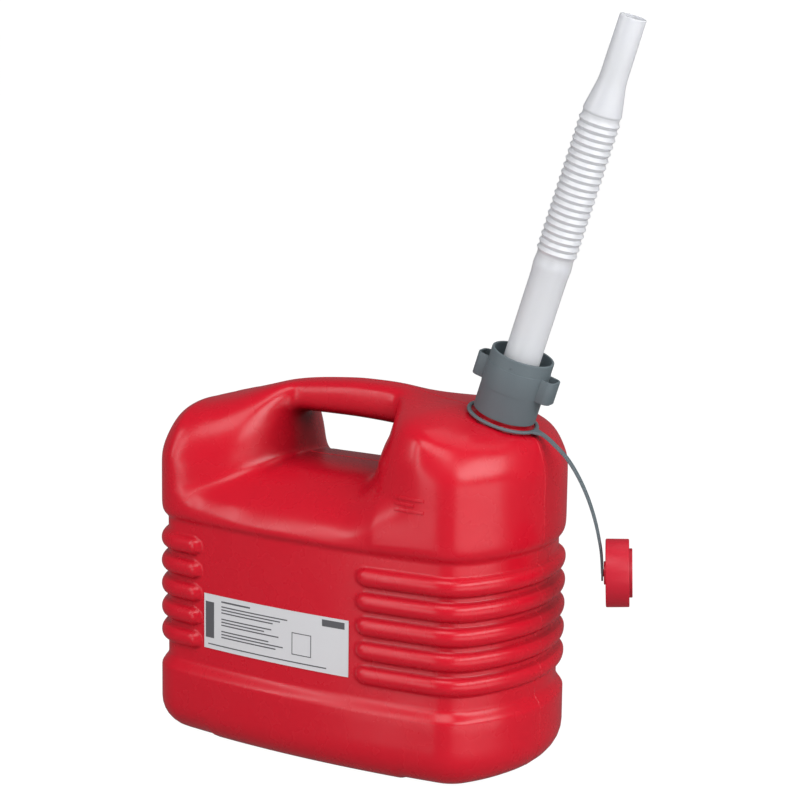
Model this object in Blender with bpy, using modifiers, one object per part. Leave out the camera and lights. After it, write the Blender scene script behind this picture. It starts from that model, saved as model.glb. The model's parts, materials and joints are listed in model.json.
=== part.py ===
"""Ten litre plastic fuel can with a flexible spout, a screw nut and a tethered cap."""

import math

import bmesh
import bpy
from mathutils import Matrix, Vector

# Frame: the can stands on z = 0 with its length along X, the neck end at +X
# and the label side at -Y. The origin is the middle of the footprint.

# Can body, outside sizes
body_length = 0.314
body_width = 0.176
body_height = 0.275
corner_radius = 0.0357
end_bow = 0.0119
side_bow = 0.0074
wall = 0.0018
base_edge_radius = 0.025
band_height = 0.052
step_height = 0.0083
recess_depth = 0.0053
shoulder_height = 0.172
shoulder_step_height = 0.0062

# Ribs round the ends
rib_count = 5
rib_margin = 0.0102
rib_half_share = 0.38
left_rib_end_share = -0.583
right_rib_end_share = 0.325
rib_end_share = 0.057

# Neck and its tilted seat
neck_place_share = 0.775
neck_rise = 0.0059
neck_tilt = math.radians(18.5)
neck_outer_radius = 0.0204
neck_bore_radius = 0.0178
neck_height = 0.024
neck_root_depth = 0.020
neck_seat_radius = 0.0235
neck_seat_drop = 0.0047
neck_bore_depth = 0.034
neck_lip_round = 0.0008
neck_seat_margin = 0.002

# Gaps and overruns
seat_gap = 0.0003
turning_gap = 0.0005
overrun = 0.002

# Union nut
nut_outer_radius = 0.0229
nut_wall = 0.002
nut_height = 0.0463
nut_web_thickness = 0.003
nut_web_hole_radius = 0.0142
nut_belt_low = 0.020
nut_belt_high = 0.037
nut_belt_relief = 0.0003
nut_rest_turn = math.radians(5)
nut_rim_chamfer = 0.0004
loop_reach = 0.0315
loop_width = 0.0165
loop_wall = 0.0016
loop_corner = 0.0024

# Spout
gasket_thickness = 0.002
gasket_inner_radius = 0.0135
flange_radius = 0.0202
flange_thickness = 0.0025
spout_wall = 0.0013
tube_radius = 0.0132
tube_end = 0.120
tube_flare_start = 0.112
bellows_end = 0.226
bellows_crest_radius = 0.0147
bellows_root_radius = 0.0132
bellows_rib_count = 20
bellows_cuff_length = 0.0025
bellows_parts = 4
nozzle_taper_end = 0.250
nozzle_radius = 0.0097
nozzle_tip_radius = 0.0094
spout_length = 0.2954

# Tether
ring_outer_radius = 0.0268
ring_inner_radius = 0.0238
ring_thickness = 0.0021
ring_tab_reach = 0.0308
ring_tab_width = 0.0056
tether_turn = math.radians(9)
strap_width = 0.005
strap_thickness = 0.0018
strap_root_radius = 0.00085
strap_reach = 0.0473
strap_drop = 0.0954
button_radius = 0.0058
button_thickness = 0.0013
button_stem_radius = 0.0026
button_barb_radius = 0.0034
button_barb_length = 0.0016

# Cap
cap_turn = math.radians(27.5)
cap_lean = math.radians(2)
cap_radius = 0.0243
cap_depth = 0.0167
cap_wall = 0.0034
cap_top_thickness = 0.0026
cap_boss_radius = 0.0083
cap_boss_height = 0.0013
cap_edge_chamfer = 0.0005
cap_plug_radius = 0.0174
cap_plug_wall = 0.0018
cap_plug_reach = 0.0022
seal_thickness = 0.0018

# Label
label_left_share = -0.56
label_length_share = 0.847
label_rise = 0.013
label_height = 0.0417
label_thickness = 0.0003

# Facets
round_steps = 40
fine_steps = 48
bellows_steps = 24
end_parts = 3
corner_parts = 4
base_edge_parts = 4
loop_corner_parts = 3
label_parts = 12
merge_distance = 0.000001

half_length = body_length / 2
half_width = body_width / 2
upper_height = body_height - shoulder_height
recess_foot = band_height + step_height
recess_head = shoulder_height - shoulder_step_height
rib_room = recess_head - recess_foot - 2 * rib_margin
rib_pitch = rib_room / (rib_count - 1 + 2 * rib_half_share)
rib_half_height = rib_pitch * rib_half_share
label_foot = recess_foot + label_rise

# Each row: plan x, x at the waist's foot and head, waist width, waist foot, waist
# head, shoulder width, ridge x, grip. x is a share of the half length, width of
# the half width and height of the part above the shoulder line.
side_form_shares = [
    (-0.656, -0.643, -0.643, 0.841, 0.214, 0.350, 0.659, -0.618, 0),
    (-0.611, -0.592, -0.592, 0.807, 0.233, 0.379, 0.614, -0.580, 0),
    (-0.583, -0.548, -0.554, 0.761, 0.252, 0.417, 0.557, -0.541, 0),
    (-0.510, -0.471, -0.484, 0.670, 0.291, 0.505, 0.455, -0.484, 0.05),
    (-0.446, -0.408, -0.427, 0.557, 0.340, 0.592, 0.364, -0.433, 0.2),
    (-0.395, -0.357, -0.382, 0.420, 0.379, 0.655, 0.290, -0.389, 0.45),
    (-0.357, -0.325, -0.350, 0.239, 0.411, 0.699, 0.227, -0.360, 0.8),
    (-0.318, -0.306, -0.325, 0.000, 0.417, 0.718, 0.193, -0.325, 1),
    (-0.191, -0.191, -0.191, 0.000, 0.417, 0.723, 0.193, -0.191, 1),
    (-0.051, -0.051, -0.051, 0.000, 0.417, 0.723, 0.193, -0.051, 1),
    (0.089, 0.089, 0.089, 0.000, 0.417, 0.718, 0.193, 0.089, 1),
    (0.217, 0.197, 0.261, 0.000, 0.417, 0.704, 0.193, 0.268, 1),
    (0.261, 0.207, 0.274, 0.250, 0.413, 0.704, 0.227, 0.312, 0.8),
    (0.299, 0.229, 0.299, 0.455, 0.403, 0.689, 0.307, 0.357, 0.5),
    (0.325, 0.268, 0.338, 0.625, 0.388, 0.660, 0.432, 0.401, 0.25),
    (0.350, 0.331, 0.389, 0.750, 0.374, 0.631, 0.568, 0.446, 0.1),
    (0.382, 0.408, 0.446, 0.830, 0.359, 0.602, 0.693, 0.490, 0),
    (0.478, 0.522, 0.535, 0.898, 0.340, 0.573, 0.807, 0.561, 0),
    (0.605, 0.631, 0.634, 0.926, 0.320, 0.553, 0.847, 0.643, 0),
]
# Each end from its middle to the corner: waist foot, waist head, shoulder
# width against waist width, ridge x.
left_end_shares = ((0.270, 0.420, 0.68, -0.790), (0.240, 0.370, 0.80, -0.662))
right_end_shares = ((0.300, 0.470, 0.64, 0.885), (0.310, 0.490, 0.86, 0.730))
ridge_shares = [
    (-0.790, 0.752),
    (-0.721, 0.797),
    (-0.548, 0.874),
    (-0.363, 0.947),
    (-0.153, 0.985),
    (0.000, 1.000),
    (0.134, 1.000),
    (0.280, 0.983),
    (0.382, 0.954),
    (0.459, 0.932),
    (0.554, 0.918),
    (0.643, 0.883),
    (0.771, 0.821),
    (0.885, 0.738),
]
# Inward and upward shares of the rise from the shoulder line to the waist.
saddle_rise_shares = [
    (0, 0),
    (0.015, 0.24),
    (0.08, 0.42),
    (0.22, 0.58),
    (0.39, 0.74),
    (0.55, 0.88),
    (0.68, 0.96),
    (0.80, 1),
    (1, 1),
]
shoulder_rise_shares = [
    (0, 0),
    (0.03, 0.20),
    (0.12, 0.38),
    (0.28, 0.53),
    (0.48, 0.66),
    (0.68, 0.78),
    (0.84, 0.88),
    (0.95, 0.95),
    (1, 1),
]
waist_shares = (1 / 3, 2 / 3, 1)
# Shares of the waist width, of the shoulder width and of the height.
grip_cap_shares = [
    (0.15, 0.55, 0.02),
    (0, 1, 0.20),
    (0, 1, 0.70),
    (0, 0.80, 0.92),
    (0, 0.42, 0.99),
    (0, 0, 1),
]
dome_cap_shares = [
    (0.88, 0.12, 0.20),
    (0.55, 0.45, 0.47),
    (0.12, 0.88, 0.74),
    (0, 0.75, 0.92),
    (0, 0.40, 0.985),
    (0, 0, 1),
]
# Height against the rib's half height and depth against the recess.
rib_shares = [(-1, 1), (-0.74, 0.33), (-0.28, 0.03), (0.28, 0.03), (0.74, 0.33), (1, 1)]
# Strap run from the ring to the button, as shares of its reach and of its drop.
strap_run_shares = [
    (0, 0),
    (0.075, 0.022),
    (0.196, 0.070),
    (0.390, 0.158),
    (0.594, 0.300),
    (0.780, 0.488),
    (0.905, 0.678),
    (0.980, 0.860),
    (0.997, 0.960),
    (1, 1),
]

for old in list(bpy.data.objects):
    bpy.data.objects.remove(old, do_unlink=True)

can_parts = bpy.data.collections.new("plastic_fuel_can")
cutters = bpy.data.collections.new("cutters")
bpy.context.scene.collection.children.link(can_parts)
bpy.context.scene.collection.children.link(cutters)


def plain_material(name, colour, roughness, transmission=0):
    made = bpy.data.materials.new(name)
    made.use_nodes = True
    shader = made.node_tree.nodes["Principled BSDF"]
    shader.inputs["Base Color"].default_value = (*colour, 1)
    shader.inputs["Roughness"].default_value = roughness
    shader.inputs["Transmission Weight"].default_value = transmission
    made.diffuse_color = (*colour, 1)
    return made


def new_object(name, mesh, material=None, cutter=False):
    made = bpy.data.objects.new(name, mesh)
    (cutters if cutter else can_parts).objects.link(made)
    if cutter:
        made.hide_render = True
        made.display_type = "WIRE"
    else:
        mesh.materials.append(material)
    return made


def mesh_from(name, points, faces):
    mesh = bpy.data.meshes.new(name)
    mesh.from_pydata([tuple(point) for point in points], [], faces)
    mesh.update()
    return mesh


def turned(name, profile, material=None, steps=round_steps, cutter=False, closed=True, base=0):
    """A turned solid from (radius, height) points that run down the outer side."""
    points = [(radius, 0, height - base) for radius, height in profile]
    edges = [(at, at + 1) for at in range(len(points) - 1)]
    if closed:
        edges.append((len(points) - 1, 0))
    mesh = bpy.data.meshes.new(name)
    mesh.from_pydata(points, edges, [])
    made = new_object(name, mesh, material, cutter)
    screw = made.modifiers.new("turn", "SCREW")
    screw.axis = "Z"
    screw.steps = steps
    screw.render_steps = steps
    screw.use_merge_vertices = True
    screw.merge_threshold = merge_distance
    return made


def ribbon(name, low_line, high_line, thickness, offset, material=None, cutter=False):
    """A strip between two lines of points, thickened by Solidify."""
    count = len(low_line)
    faces = [(at, at + 1, count + at + 1, count + at) for at in range(count - 1)]
    mesh = mesh_from(name, [*low_line, *high_line], faces)
    made = new_object(name, mesh, material, cutter)
    shell = made.modifiers.new("thickness", "SOLIDIFY")
    shell.thickness = thickness
    shell.offset = offset
    shell.use_even_offset = True
    return made


def block(name, low, high):
    """A box cutter between two corners."""
    work = bmesh.new()
    sizes = [top - foot for foot, top in zip(low, high)]
    centre = (Vector(low) + Vector(high)) / 2
    place = Matrix.Translation(centre) @ Matrix.Diagonal((*sizes, 1))
    bmesh.ops.create_cube(work, size=1, matrix=place)
    mesh = bpy.data.meshes.new(name)
    work.to_mesh(mesh)
    work.free()
    return new_object(name, mesh, cutter=True)


def boolean(target, tool, operation):
    made = target.modifiers.new(f"{operation.lower()} {tool.name}", "BOOLEAN")
    made.operation = operation
    made.solver = "EXACT"
    made.object = tool
    return made


def plan_point(turn, inset):
    """Half plan of the can: the turn of its normal runs from 0 at the neck end to pi."""
    corner_x = half_length - end_bow - corner_radius
    corner_y = half_width - side_bow - corner_radius
    end_radius = (corner_y**2 + end_bow**2) / (2 * end_bow)
    side_radius = (corner_x**2 + side_bow**2) / (2 * side_bow)
    end_turn = math.asin(corner_y / end_radius)
    side_turn = math.pi / 2 - math.asin(corner_x / side_radius)
    radius = corner_radius - inset
    facing = min(turn, math.pi - turn)
    if facing < end_turn:
        centre = (half_length - corner_radius - end_radius, 0)
        radius += end_radius
    elif facing < side_turn:
        centre = (corner_x, corner_y)
    else:
        centre = (0, half_width - corner_radius - side_radius)
        radius += side_radius
    x = centre[0] + radius * math.cos(facing)
    y = centre[1] + radius * math.sin(facing)
    return (x if turn < math.pi / 2 else -x), y


def corner_turns():
    corner_x = half_length - end_bow - corner_radius
    corner_y = half_width - side_bow - corner_radius
    end_radius = (corner_y**2 + end_bow**2) / (2 * end_bow)
    side_radius = (corner_x**2 + side_bow**2) / (2 * side_bow)
    side_turn = math.pi / 2 - math.asin(corner_x / side_radius)
    return math.asin(corner_y / end_radius), side_turn, side_radius


def between(low, high, share):
    return low + (high - low) * share


def ridge_height(x):
    """Height of the parting line along the top of the can."""
    share = x / half_length
    for (left, low), (right, high) in zip(ridge_shares, ridge_shares[1:]):
        if share <= right:
            rise = between(low, high, (share - left) / (right - left))
            return shoulder_height + upper_height * rise
    return shoulder_height + upper_height * ridge_shares[-1][1]


def body_columns():
    """Columns from the far end to the neck end, each with its plan turn and form."""
    end_turn, side_turn, side_radius = corner_turns()
    turns = [end_turn * at / end_parts for at in range(end_parts)]
    turns += [
        between(end_turn, side_turn, at / corner_parts) for at in range(corner_parts + 1)
    ]

    def end_column(turn, shares, far):
        share = turn / side_turn
        low, high, ratio, ridge = (
            between(middle, corner, share) for middle, corner in zip(*shares)
        )
        turn = math.pi - turn if far else turn
        x, y = plan_point(turn, 0)
        return (turn, x, x, y, low, high, y * ratio, ratio, ridge * half_length, 0)

    columns = [end_column(turn, left_end_shares, True) for turn in turns]
    for plan_x, foot_x, head_x, waist, low, high, shoulder, ridge, grip in side_form_shares:
        turn = math.acos(plan_x * half_length / (side_radius + corner_radius))
        columns.append(
            (
                turn,
                foot_x * half_length,
                head_x * half_length,
                waist * half_width,
                low,
                high,
                shoulder * half_width,
                shoulder / waist if waist else 1,
                ridge * half_length,
                grip,
            )
        )
    columns += [end_column(turn, right_end_shares, False) for turn in reversed(turns)]
    return columns


def rib_strength(turn):
    """1 where the ribs stand full, falling to 0 at their rounded ends."""
    share = plan_point(turn, 0)[0] / half_length
    past = max(left_rib_end_share - share, share - right_rib_end_share) / rib_end_share
    past = min(max(past, 0), 1)
    return math.sqrt(1 - (1 - past) ** 2)


def tub_rows():
    """(height, inset, rib share) from the base edge up to the shoulder line."""
    rows = []
    for at in range(base_edge_parts + 1):
        lean = math.pi / 2 * at / base_edge_parts
        inset = base_edge_radius * (1 - math.sin(lean))
        rows.append((base_edge_radius * (1 - math.cos(lean)), inset, 0))
    rows.append((band_height, 0, 0))
    rows.append((recess_foot, recess_depth, 0))
    for rib in range(rib_count):
        centre = recess_foot + rib_margin + rib_half_height + rib_pitch * rib
        for rise, depth in rib_shares:
            rows.append((centre + rib_half_height * rise, recess_depth, 1 - depth))
    rows.append((recess_head, recess_depth, 0))
    rows.append((shoulder_height, 0, 0))
    return rows


rise_rows = len(saddle_rise_shares) - 1
waist_rows = len(waist_shares)
cap_rows = len(grip_cap_shares)


def upper_column(column):
    """Points of one column above the shoulder line, up to the ridge."""
    turn, foot_x, head_x, waist, low, high, shoulder, ratio, ridge_x, grip = column
    plan_x, plan_y = plan_point(turn, 0)
    waist_foot = shoulder_height + upper_height * low
    waist_head = shoulder_height + upper_height * high
    ridge = ridge_height(ridge_x)
    points = []
    for saddle, smooth in zip(saddle_rise_shares[1:], shoulder_rise_shares[1:]):
        inward = between(smooth[0], saddle[0], grip)
        upward = between(smooth[1], saddle[1], grip)
        x = between(plan_x, foot_x, inward)
        y = between(plan_y, waist, inward)
        points.append((x, y, between(shoulder_height, waist_foot, upward)))
    for share in waist_shares:
        x = between(foot_x, head_x, share)
        points.append((x, waist, between(waist_foot, waist_head, share)))
    for held, domed in zip(grip_cap_shares, dome_cap_shares):
        parts = [between(dome, hold, grip) for hold, dome in zip(held, domed)]
        y = parts[0] * waist + parts[1] * shoulder
        gone = 1 - domed[0] - domed[1] * min(ratio, 1)
        x = between(head_x, ridge_x, gone)
        points.append((x, y, between(waist_head, ridge, parts[2])))
    return points


def body_grid():
    """Outer surface of the label half: one list of points per column, base to ridge."""
    columns = body_columns()
    grid = []
    for column in columns:
        turn = column[0]
        rows = tub_rows()
        foot = plan_point(turn, rows[0][1])
        points = [(foot[0], 0, 0)]
        for height, inset, rib in rows:
            depth = inset - recess_depth * rib * rib_strength(turn)
            points.append((*plan_point(turn, depth), height))
        points += upper_column(column)
        grid.append([Vector((x, -y, z)) for x, y, z in points])
    return grid


def grip_columns(grid):
    """First and last column of the hand opening, and its lowest and highest rows."""
    ends = len(body_columns()) - len(side_form_shares)
    held = [at for at, row in enumerate(side_form_shares) if row[-1] == 1]
    first = ends // 2 + held[0]
    last = ends // 2 + held[-1]
    low = len(tub_rows()) + rise_rows
    return first, last, low, low + waist_rows


def grid_mesh(name, grid, columns, rows):
    """Half skin over the chosen columns and rows, leaving out the hand opening."""
    first, last, low, high = grip_columns(grid)
    points = []
    number = {}
    for column in columns:
        for row in rows:
            number[column, row] = len(points)
            points.append(grid[column][row])
    faces = []
    for left, right in zip(columns, columns[1:]):
        for under, over in zip(rows, rows[1:]):
            if first <= left < last and low <= under < high:
                continue
            corners = (left, under), (right, under), (right, over), (left, over)
            faces.append([number[corner] for corner in corners])
    mesh = mesh_from(name, points, faces)
    work = bmesh.new()
    work.from_mesh(mesh)
    bmesh.ops.remove_doubles(work, verts=work.verts, dist=merge_distance)
    loose = [vert for vert in work.verts if not vert.link_faces]
    bmesh.ops.delete(work, geom=loose, context="VERTS")
    work.to_mesh(mesh)
    work.free()
    return mesh


def mirrored(target):
    mirror = target.modifiers.new("far half", "MIRROR")
    mirror.use_axis = (False, True, False)
    mirror.use_mirror_merge = True
    mirror.merge_threshold = merge_distance
    return mirror


def inner_grid(grid):
    """The same grid moved inward by the wall, along the normals of the whole skin."""
    first, last, low, high = grip_columns(grid)
    work = bmesh.new()
    sides = []
    for side in (1, -1):
        verts = [
            [work.verts.new((point.x, point.y * side, point.z)) for point in column]
            for column in grid
        ]
        for left in range(len(grid) - 1):
            for under in range(len(grid[0]) - 1):
                if first <= left < last and low <= under < high:
                    continue
                corners = [
                    verts[left][under],
                    verts[left + 1][under],
                    verts[left + 1][under + 1],
                    verts[left][under + 1],
                ]
                work.faces.new(corners if side == 1 else corners[::-1])
        sides.append(verts)
    for column, verts in enumerate(sides[0]):
        for row, vert in enumerate(verts):
            vert.index = column * len(verts) + row
    work.verts.index_update()
    bmesh.ops.remove_doubles(work, verts=work.verts, dist=merge_distance)
    work.normal_update()
    moved = {}
    for vert in work.verts:
        key = tuple(round(value, 6) for value in vert.co)
        moved[key] = vert.co - vert.normal * wall * vert.calc_shell_factor()
    inner = []
    for column in grid:
        points = []
        for point in column:
            key = tuple(round(value, 6) for value in point)
            points.append(moved.get(key, point).copy())
        inner.append(points)
    for column in inner:
        column[0].y = 0
    work.free()
    return inner


neck_x = half_length * neck_place_share
neck_foot = Vector((neck_x, 0, ridge_height(neck_x) + neck_rise))
neck_frame = Matrix.Translation(neck_foot) @ Matrix.Rotation(neck_tilt, 4, "Y")


def on_neck(made, turn=0, height=0):
    raised = neck_frame @ Matrix.Translation((0, 0, height))
    made.matrix_world = raised @ Matrix.Rotation(turn, 4, "Z")
    return made


def seat_cutter(name, allowance):
    """The room above the seat that the tether's ring lies on."""
    reach = ring_tab_reach + neck_seat_margin + allowance
    foot = -neck_seat_drop - allowance
    profile = [(0, neck_height), (reach, neck_height), (reach, foot), (0, foot)]
    return on_neck(turned(name, profile, steps=fine_steps, cutter=True, closed=False))


def build_body():
    red = plain_material("red_polyethylene", (0.58, 0.012, 0.028), 0.36)
    grid = body_grid()
    all_columns = list(range(len(grid)))
    all_rows = list(range(len(grid[0])))
    body = new_object("can_body", grid_mesh("can_body", grid, all_columns, all_rows), red)
    mirrored(body)

    top = neck_height
    collar = seat_gap - neck_seat_drop
    bottom = -neck_seat_drop - neck_root_depth
    outside = [
        (0, top),
        (neck_outer_radius - neck_lip_round, top),
        (neck_outer_radius, top - neck_lip_round),
        (neck_outer_radius, collar),
        (neck_seat_radius, collar),
        (neck_seat_radius, bottom),
        (0, bottom),
    ]
    boolean(body, seat_cutter("ring_clearance", 0), "DIFFERENCE")
    neck = turned("neck_outside", outside, steps=fine_steps, cutter=True, closed=False)
    on_neck(neck)
    boolean(body, neck, "UNION")

    first, last, low, high = grip_columns(grid)
    inner = inner_grid(grid)
    tub = tub_rows()
    recess = [at for at, row in enumerate(tub, 1) if row[1] == recess_depth]
    keep_rows = set(range(len(tub) + 1)) - set(recess[1:-1])
    keep_rows |= set(range(len(tub) + 2, len(all_rows), 2)) | {low, high, all_rows[-1]}
    keep_columns = set(range(0, len(grid), 2)) | {first, last, len(grid) - 1}
    hollow_mesh = grid_mesh("hollow", inner, sorted(keep_columns), sorted(keep_rows))
    hollow = new_object("hollow", hollow_mesh, cutter=True)
    mirrored(hollow)
    boolean(hollow, seat_cutter("seat_wall", wall), "DIFFERENCE")
    boolean(body, hollow, "DIFFERENCE")

    bore = [
        (0, top + overrun),
        (neck_bore_radius, top + overrun),
        (neck_bore_radius, -neck_bore_depth),
        (0, -neck_bore_depth),
    ]
    cut = turned("neck_bore", bore, steps=fine_steps, cutter=True, closed=False)
    on_neck(cut)
    boolean(body, cut, "DIFFERENCE")
    return body


def build_label():
    pale = plain_material("label_film", (0.74, 0.75, 0.77), 0.45)
    side_radius = corner_turns()[2]
    low_line = []
    high_line = []
    for at in range(label_parts + 1):
        x = half_length * (label_left_share + label_length_share * at / label_parts)
        turn = math.acos(x / (side_radius + corner_radius))
        x, y = plan_point(turn, recess_depth - seat_gap)
        low_line.append((x, -y, label_foot))
        high_line.append((x, -y, label_foot + label_height))
    return ribbon("label", low_line, high_line, label_thickness, 1, pale)


gasket_foot = neck_height + seat_gap
flange_foot = gasket_foot + gasket_thickness + seat_gap
flange_head = flange_foot + flange_thickness
web_foot = flange_head + seat_gap


def build_nut(grey):
    outer = nut_outer_radius
    inner = outer - nut_wall
    belt = outer + nut_belt_relief
    web_head = web_foot + nut_web_thickness
    profile = [
        (inner, nut_height),
        (outer - nut_rim_chamfer, nut_height),
        (outer, nut_height - nut_rim_chamfer),
        (outer, nut_belt_high),
        (belt, nut_belt_high),
        (belt, nut_belt_low),
        (outer, nut_belt_low),
        (outer, 0),
        (inner, 0),
        (inner, web_foot),
        (nut_web_hole_radius, web_foot),
        (nut_web_hole_radius, web_head),
        (inner, web_head),
    ]
    nut = on_neck(turned("union_nut", profile, grey, fine_steps), nut_rest_turn)
    ring_middle = outer - nut_wall / 2
    for side, turn in (("near", 0), ("far", math.pi)):
        loop = on_neck(finger_loop(f"{side}_loop", ring_middle), nut_rest_turn + turn)
        boolean(nut, loop, "UNION")
    return nut


def finger_loop(name, start):
    """A U of thin wall that stands out from the nut, open at top and bottom."""
    half = loop_width / 2
    line = [(start, -half)]
    for side in (-1, 1):
        for at in range(loop_corner_parts + 1):
            lean = math.pi / 2 * at / loop_corner_parts
            if side == 1:
                lean = math.pi / 2 - lean
            x = loop_reach - loop_corner + loop_corner * math.sin(lean)
            y = side * (half - loop_corner + loop_corner * math.cos(lean))
            line.append((x, y))
    line.append((start, half))
    low_line = [(x, y, nut_belt_low) for x, y in line]
    high_line = [(x, y, nut_belt_high) for x, y in line]
    return ribbon(name, low_line, high_line, loop_wall, -1, cutter=True)


def build_spout():
    clear = plain_material("natural_polyethylene", (0.80, 0.81, 0.84), 0.30, 0.35)
    rubber = plain_material("gasket_rubber", (0.03, 0.03, 0.032), 0.75)
    gasket_head = gasket_foot + gasket_thickness
    gasket = [
        (gasket_inner_radius, gasket_head),
        (flange_radius, gasket_head),
        (flange_radius, gasket_foot),
        (gasket_inner_radius, gasket_foot),
    ]
    on_neck(turned("spout_gasket", gasket, rubber))

    bore = tube_radius - spout_wall
    cuff = bellows_root_radius
    tube = [
        (cuff - spout_wall, tube_end - seat_gap),
        (cuff, tube_end - seat_gap),
        (tube_radius, tube_flare_start),
        (tube_radius, flange_head),
        (flange_radius, flange_head),
        (flange_radius, flange_foot),
        (bore, flange_foot),
        (bore, tube_flare_start),
    ]
    on_neck(turned("spout_tube", tube, clear))

    bend_heights = [build_bellows_part(part, clear) for part in range(bellows_parts)]
    nozzle_foot = bellows_end + seat_gap
    nozzle = [
        (nozzle_tip_radius - spout_wall, spout_length),
        (nozzle_tip_radius, spout_length),
        (nozzle_radius, nozzle_taper_end),
        (cuff, nozzle_foot),
        (cuff - spout_wall, nozzle_foot),
        (nozzle_radius - spout_wall, nozzle_taper_end),
    ]
    last_bend = bend_heights[-1]
    on_neck(turned("spout_nozzle", nozzle, clear, base=last_bend), height=last_bend)


def bellows_limits(part):
    """Foot, lowest root, highest root and head of one part of the bellows."""
    ribs = bellows_rib_count // bellows_parts
    first = tube_end + bellows_cuff_length
    pitch = (bellows_end - bellows_cuff_length - first) / bellows_rib_count
    low = first + pitch * ribs * part
    high = low + pitch * ribs
    foot = low + seat_gap / 2 if part else tube_end
    head = high - seat_gap / 2 if part < bellows_parts - 1 else bellows_end
    return foot, low, high, head


def build_bellows_part(part, clear):
    """One of the equal parts that the bellows bends in, and the height it bends at."""
    foot, low, high, head = bellows_limits(part)
    ribs = bellows_rib_count // bellows_parts
    pitch = (high - low) / ribs
    outside = [(bellows_root_radius, head)]
    if head > high:
        outside.append((bellows_root_radius, high))
    for rib in range(ribs):
        outside.append((bellows_crest_radius, high - pitch * (rib + 1 / 2)))
        outside.append((bellows_root_radius, max(foot, high - pitch * (rib + 1))))
    if foot < low:
        outside.append((bellows_root_radius, foot))
    inside = [(radius - spout_wall, height) for radius, height in reversed(outside)]
    before = bellows_limits(part - 1) if part else None
    base = (before[0] + before[-1]) / 2 if before else 0
    name = f"spout_bellows_{part + 1}"
    on_neck(turned(name, outside + inside, clear, bellows_steps, base=base), height=base)
    return (foot + head) / 2


def ring_turn():
    """Turn about the neck axis that points along the strap's own heading."""
    return math.atan2(math.sin(tether_turn) * math.cos(neck_tilt), math.cos(tether_turn))


ring_head = -neck_seat_drop + seat_gap + ring_thickness


def build_tether(grey):
    foot = ring_head - ring_thickness
    profile = [
        (ring_inner_radius, ring_head),
        (ring_outer_radius, ring_head),
        (ring_outer_radius, foot),
        (ring_inner_radius, foot),
    ]
    ring = on_neck(turned("tether_ring", profile, grey, fine_steps), ring_turn())
    half = ring_tab_width / 2
    middle = (ring_inner_radius + ring_outer_radius) / 2
    low = (middle, -half, foot)
    high = (ring_tab_reach, half, ring_head)
    tab = on_neck(block("ring_tab", low, high), ring_turn())
    boolean(ring, tab, "UNION")

    root = neck_frame @ Matrix.Rotation(ring_turn(), 4, "Z") @ Vector(
        (ring_tab_reach + strap_thickness / 2 + seat_gap, 0, (foot + ring_head) / 2)
    )
    heading = Vector((math.cos(tether_turn), math.sin(tether_turn), 0))
    low_line, high_line = strap_lines(heading)
    strap = ribbon("tether_strap", low_line, high_line, strap_thickness, 0, grey)
    strap.location = root
    edge = strap_width / 2 - seat_gap
    profile = [(0, edge), (strap_root_radius, edge), (strap_root_radius, -edge), (0, -edge)]
    roll = turned("strap_root", profile, cutter=True, steps=bellows_steps, closed=False)
    roll.matrix_world = (
        Matrix.Translation(root)
        @ Matrix.Rotation(tether_turn, 4, "Z")
        @ Matrix.Rotation(math.pi / 2, 4, "X")
    )
    boolean(strap, roll, "UNION")
    end = root + heading * strap_reach - Vector((0, 0, strap_drop))
    cap_frame = Matrix.Translation(end) @ Matrix.Rotation(cap_turn, 4, "Z")
    cap_frame = cap_frame @ Matrix.Rotation(math.pi / 2 - cap_lean, 4, "Y")
    button = button_profile()
    pin = turned("strap_button", button, cutter=True, steps=bellows_steps, closed=False)
    pin.matrix_world = cap_frame
    boolean(strap, pin, "UNION")
    return cap_frame


def button_profile():
    face = strap_thickness / 2
    head = -button_thickness / 2
    under = button_thickness / 2
    barb = face + cap_boss_height + cap_top_thickness + 2 * seat_gap
    return [
        (0, barb + button_barb_length),
        (button_stem_radius, barb + button_barb_length),
        (button_barb_radius, barb),
        (button_stem_radius, barb),
        (button_stem_radius, under),
        (button_radius, under),
        (button_radius, head),
        (0, head),
    ]


def strap_lines(heading):
    """Edges of the flat strap, which turns from the ring's heading to face the cap."""
    run = [
        heading * strap_reach * out - Vector((0, 0, strap_drop * down))
        for out, down in strap_run_shares
    ]
    low_line = []
    high_line = []
    for at, centre in enumerate(run):
        before = run[max(at - 1, 0)]
        after = run[min(at + 1, len(run) - 1)]
        along = (after - before).normalized()
        turn = between(tether_turn, cap_turn, at / (len(run) - 1))
        across = Vector((-math.sin(turn), math.cos(turn), 0))
        across = (across - along * across.dot(along)).normalized()
        low_line.append(centre - across * strap_width / 2)
        high_line.append(centre + across * strap_width / 2)
    return low_line, high_line


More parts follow.
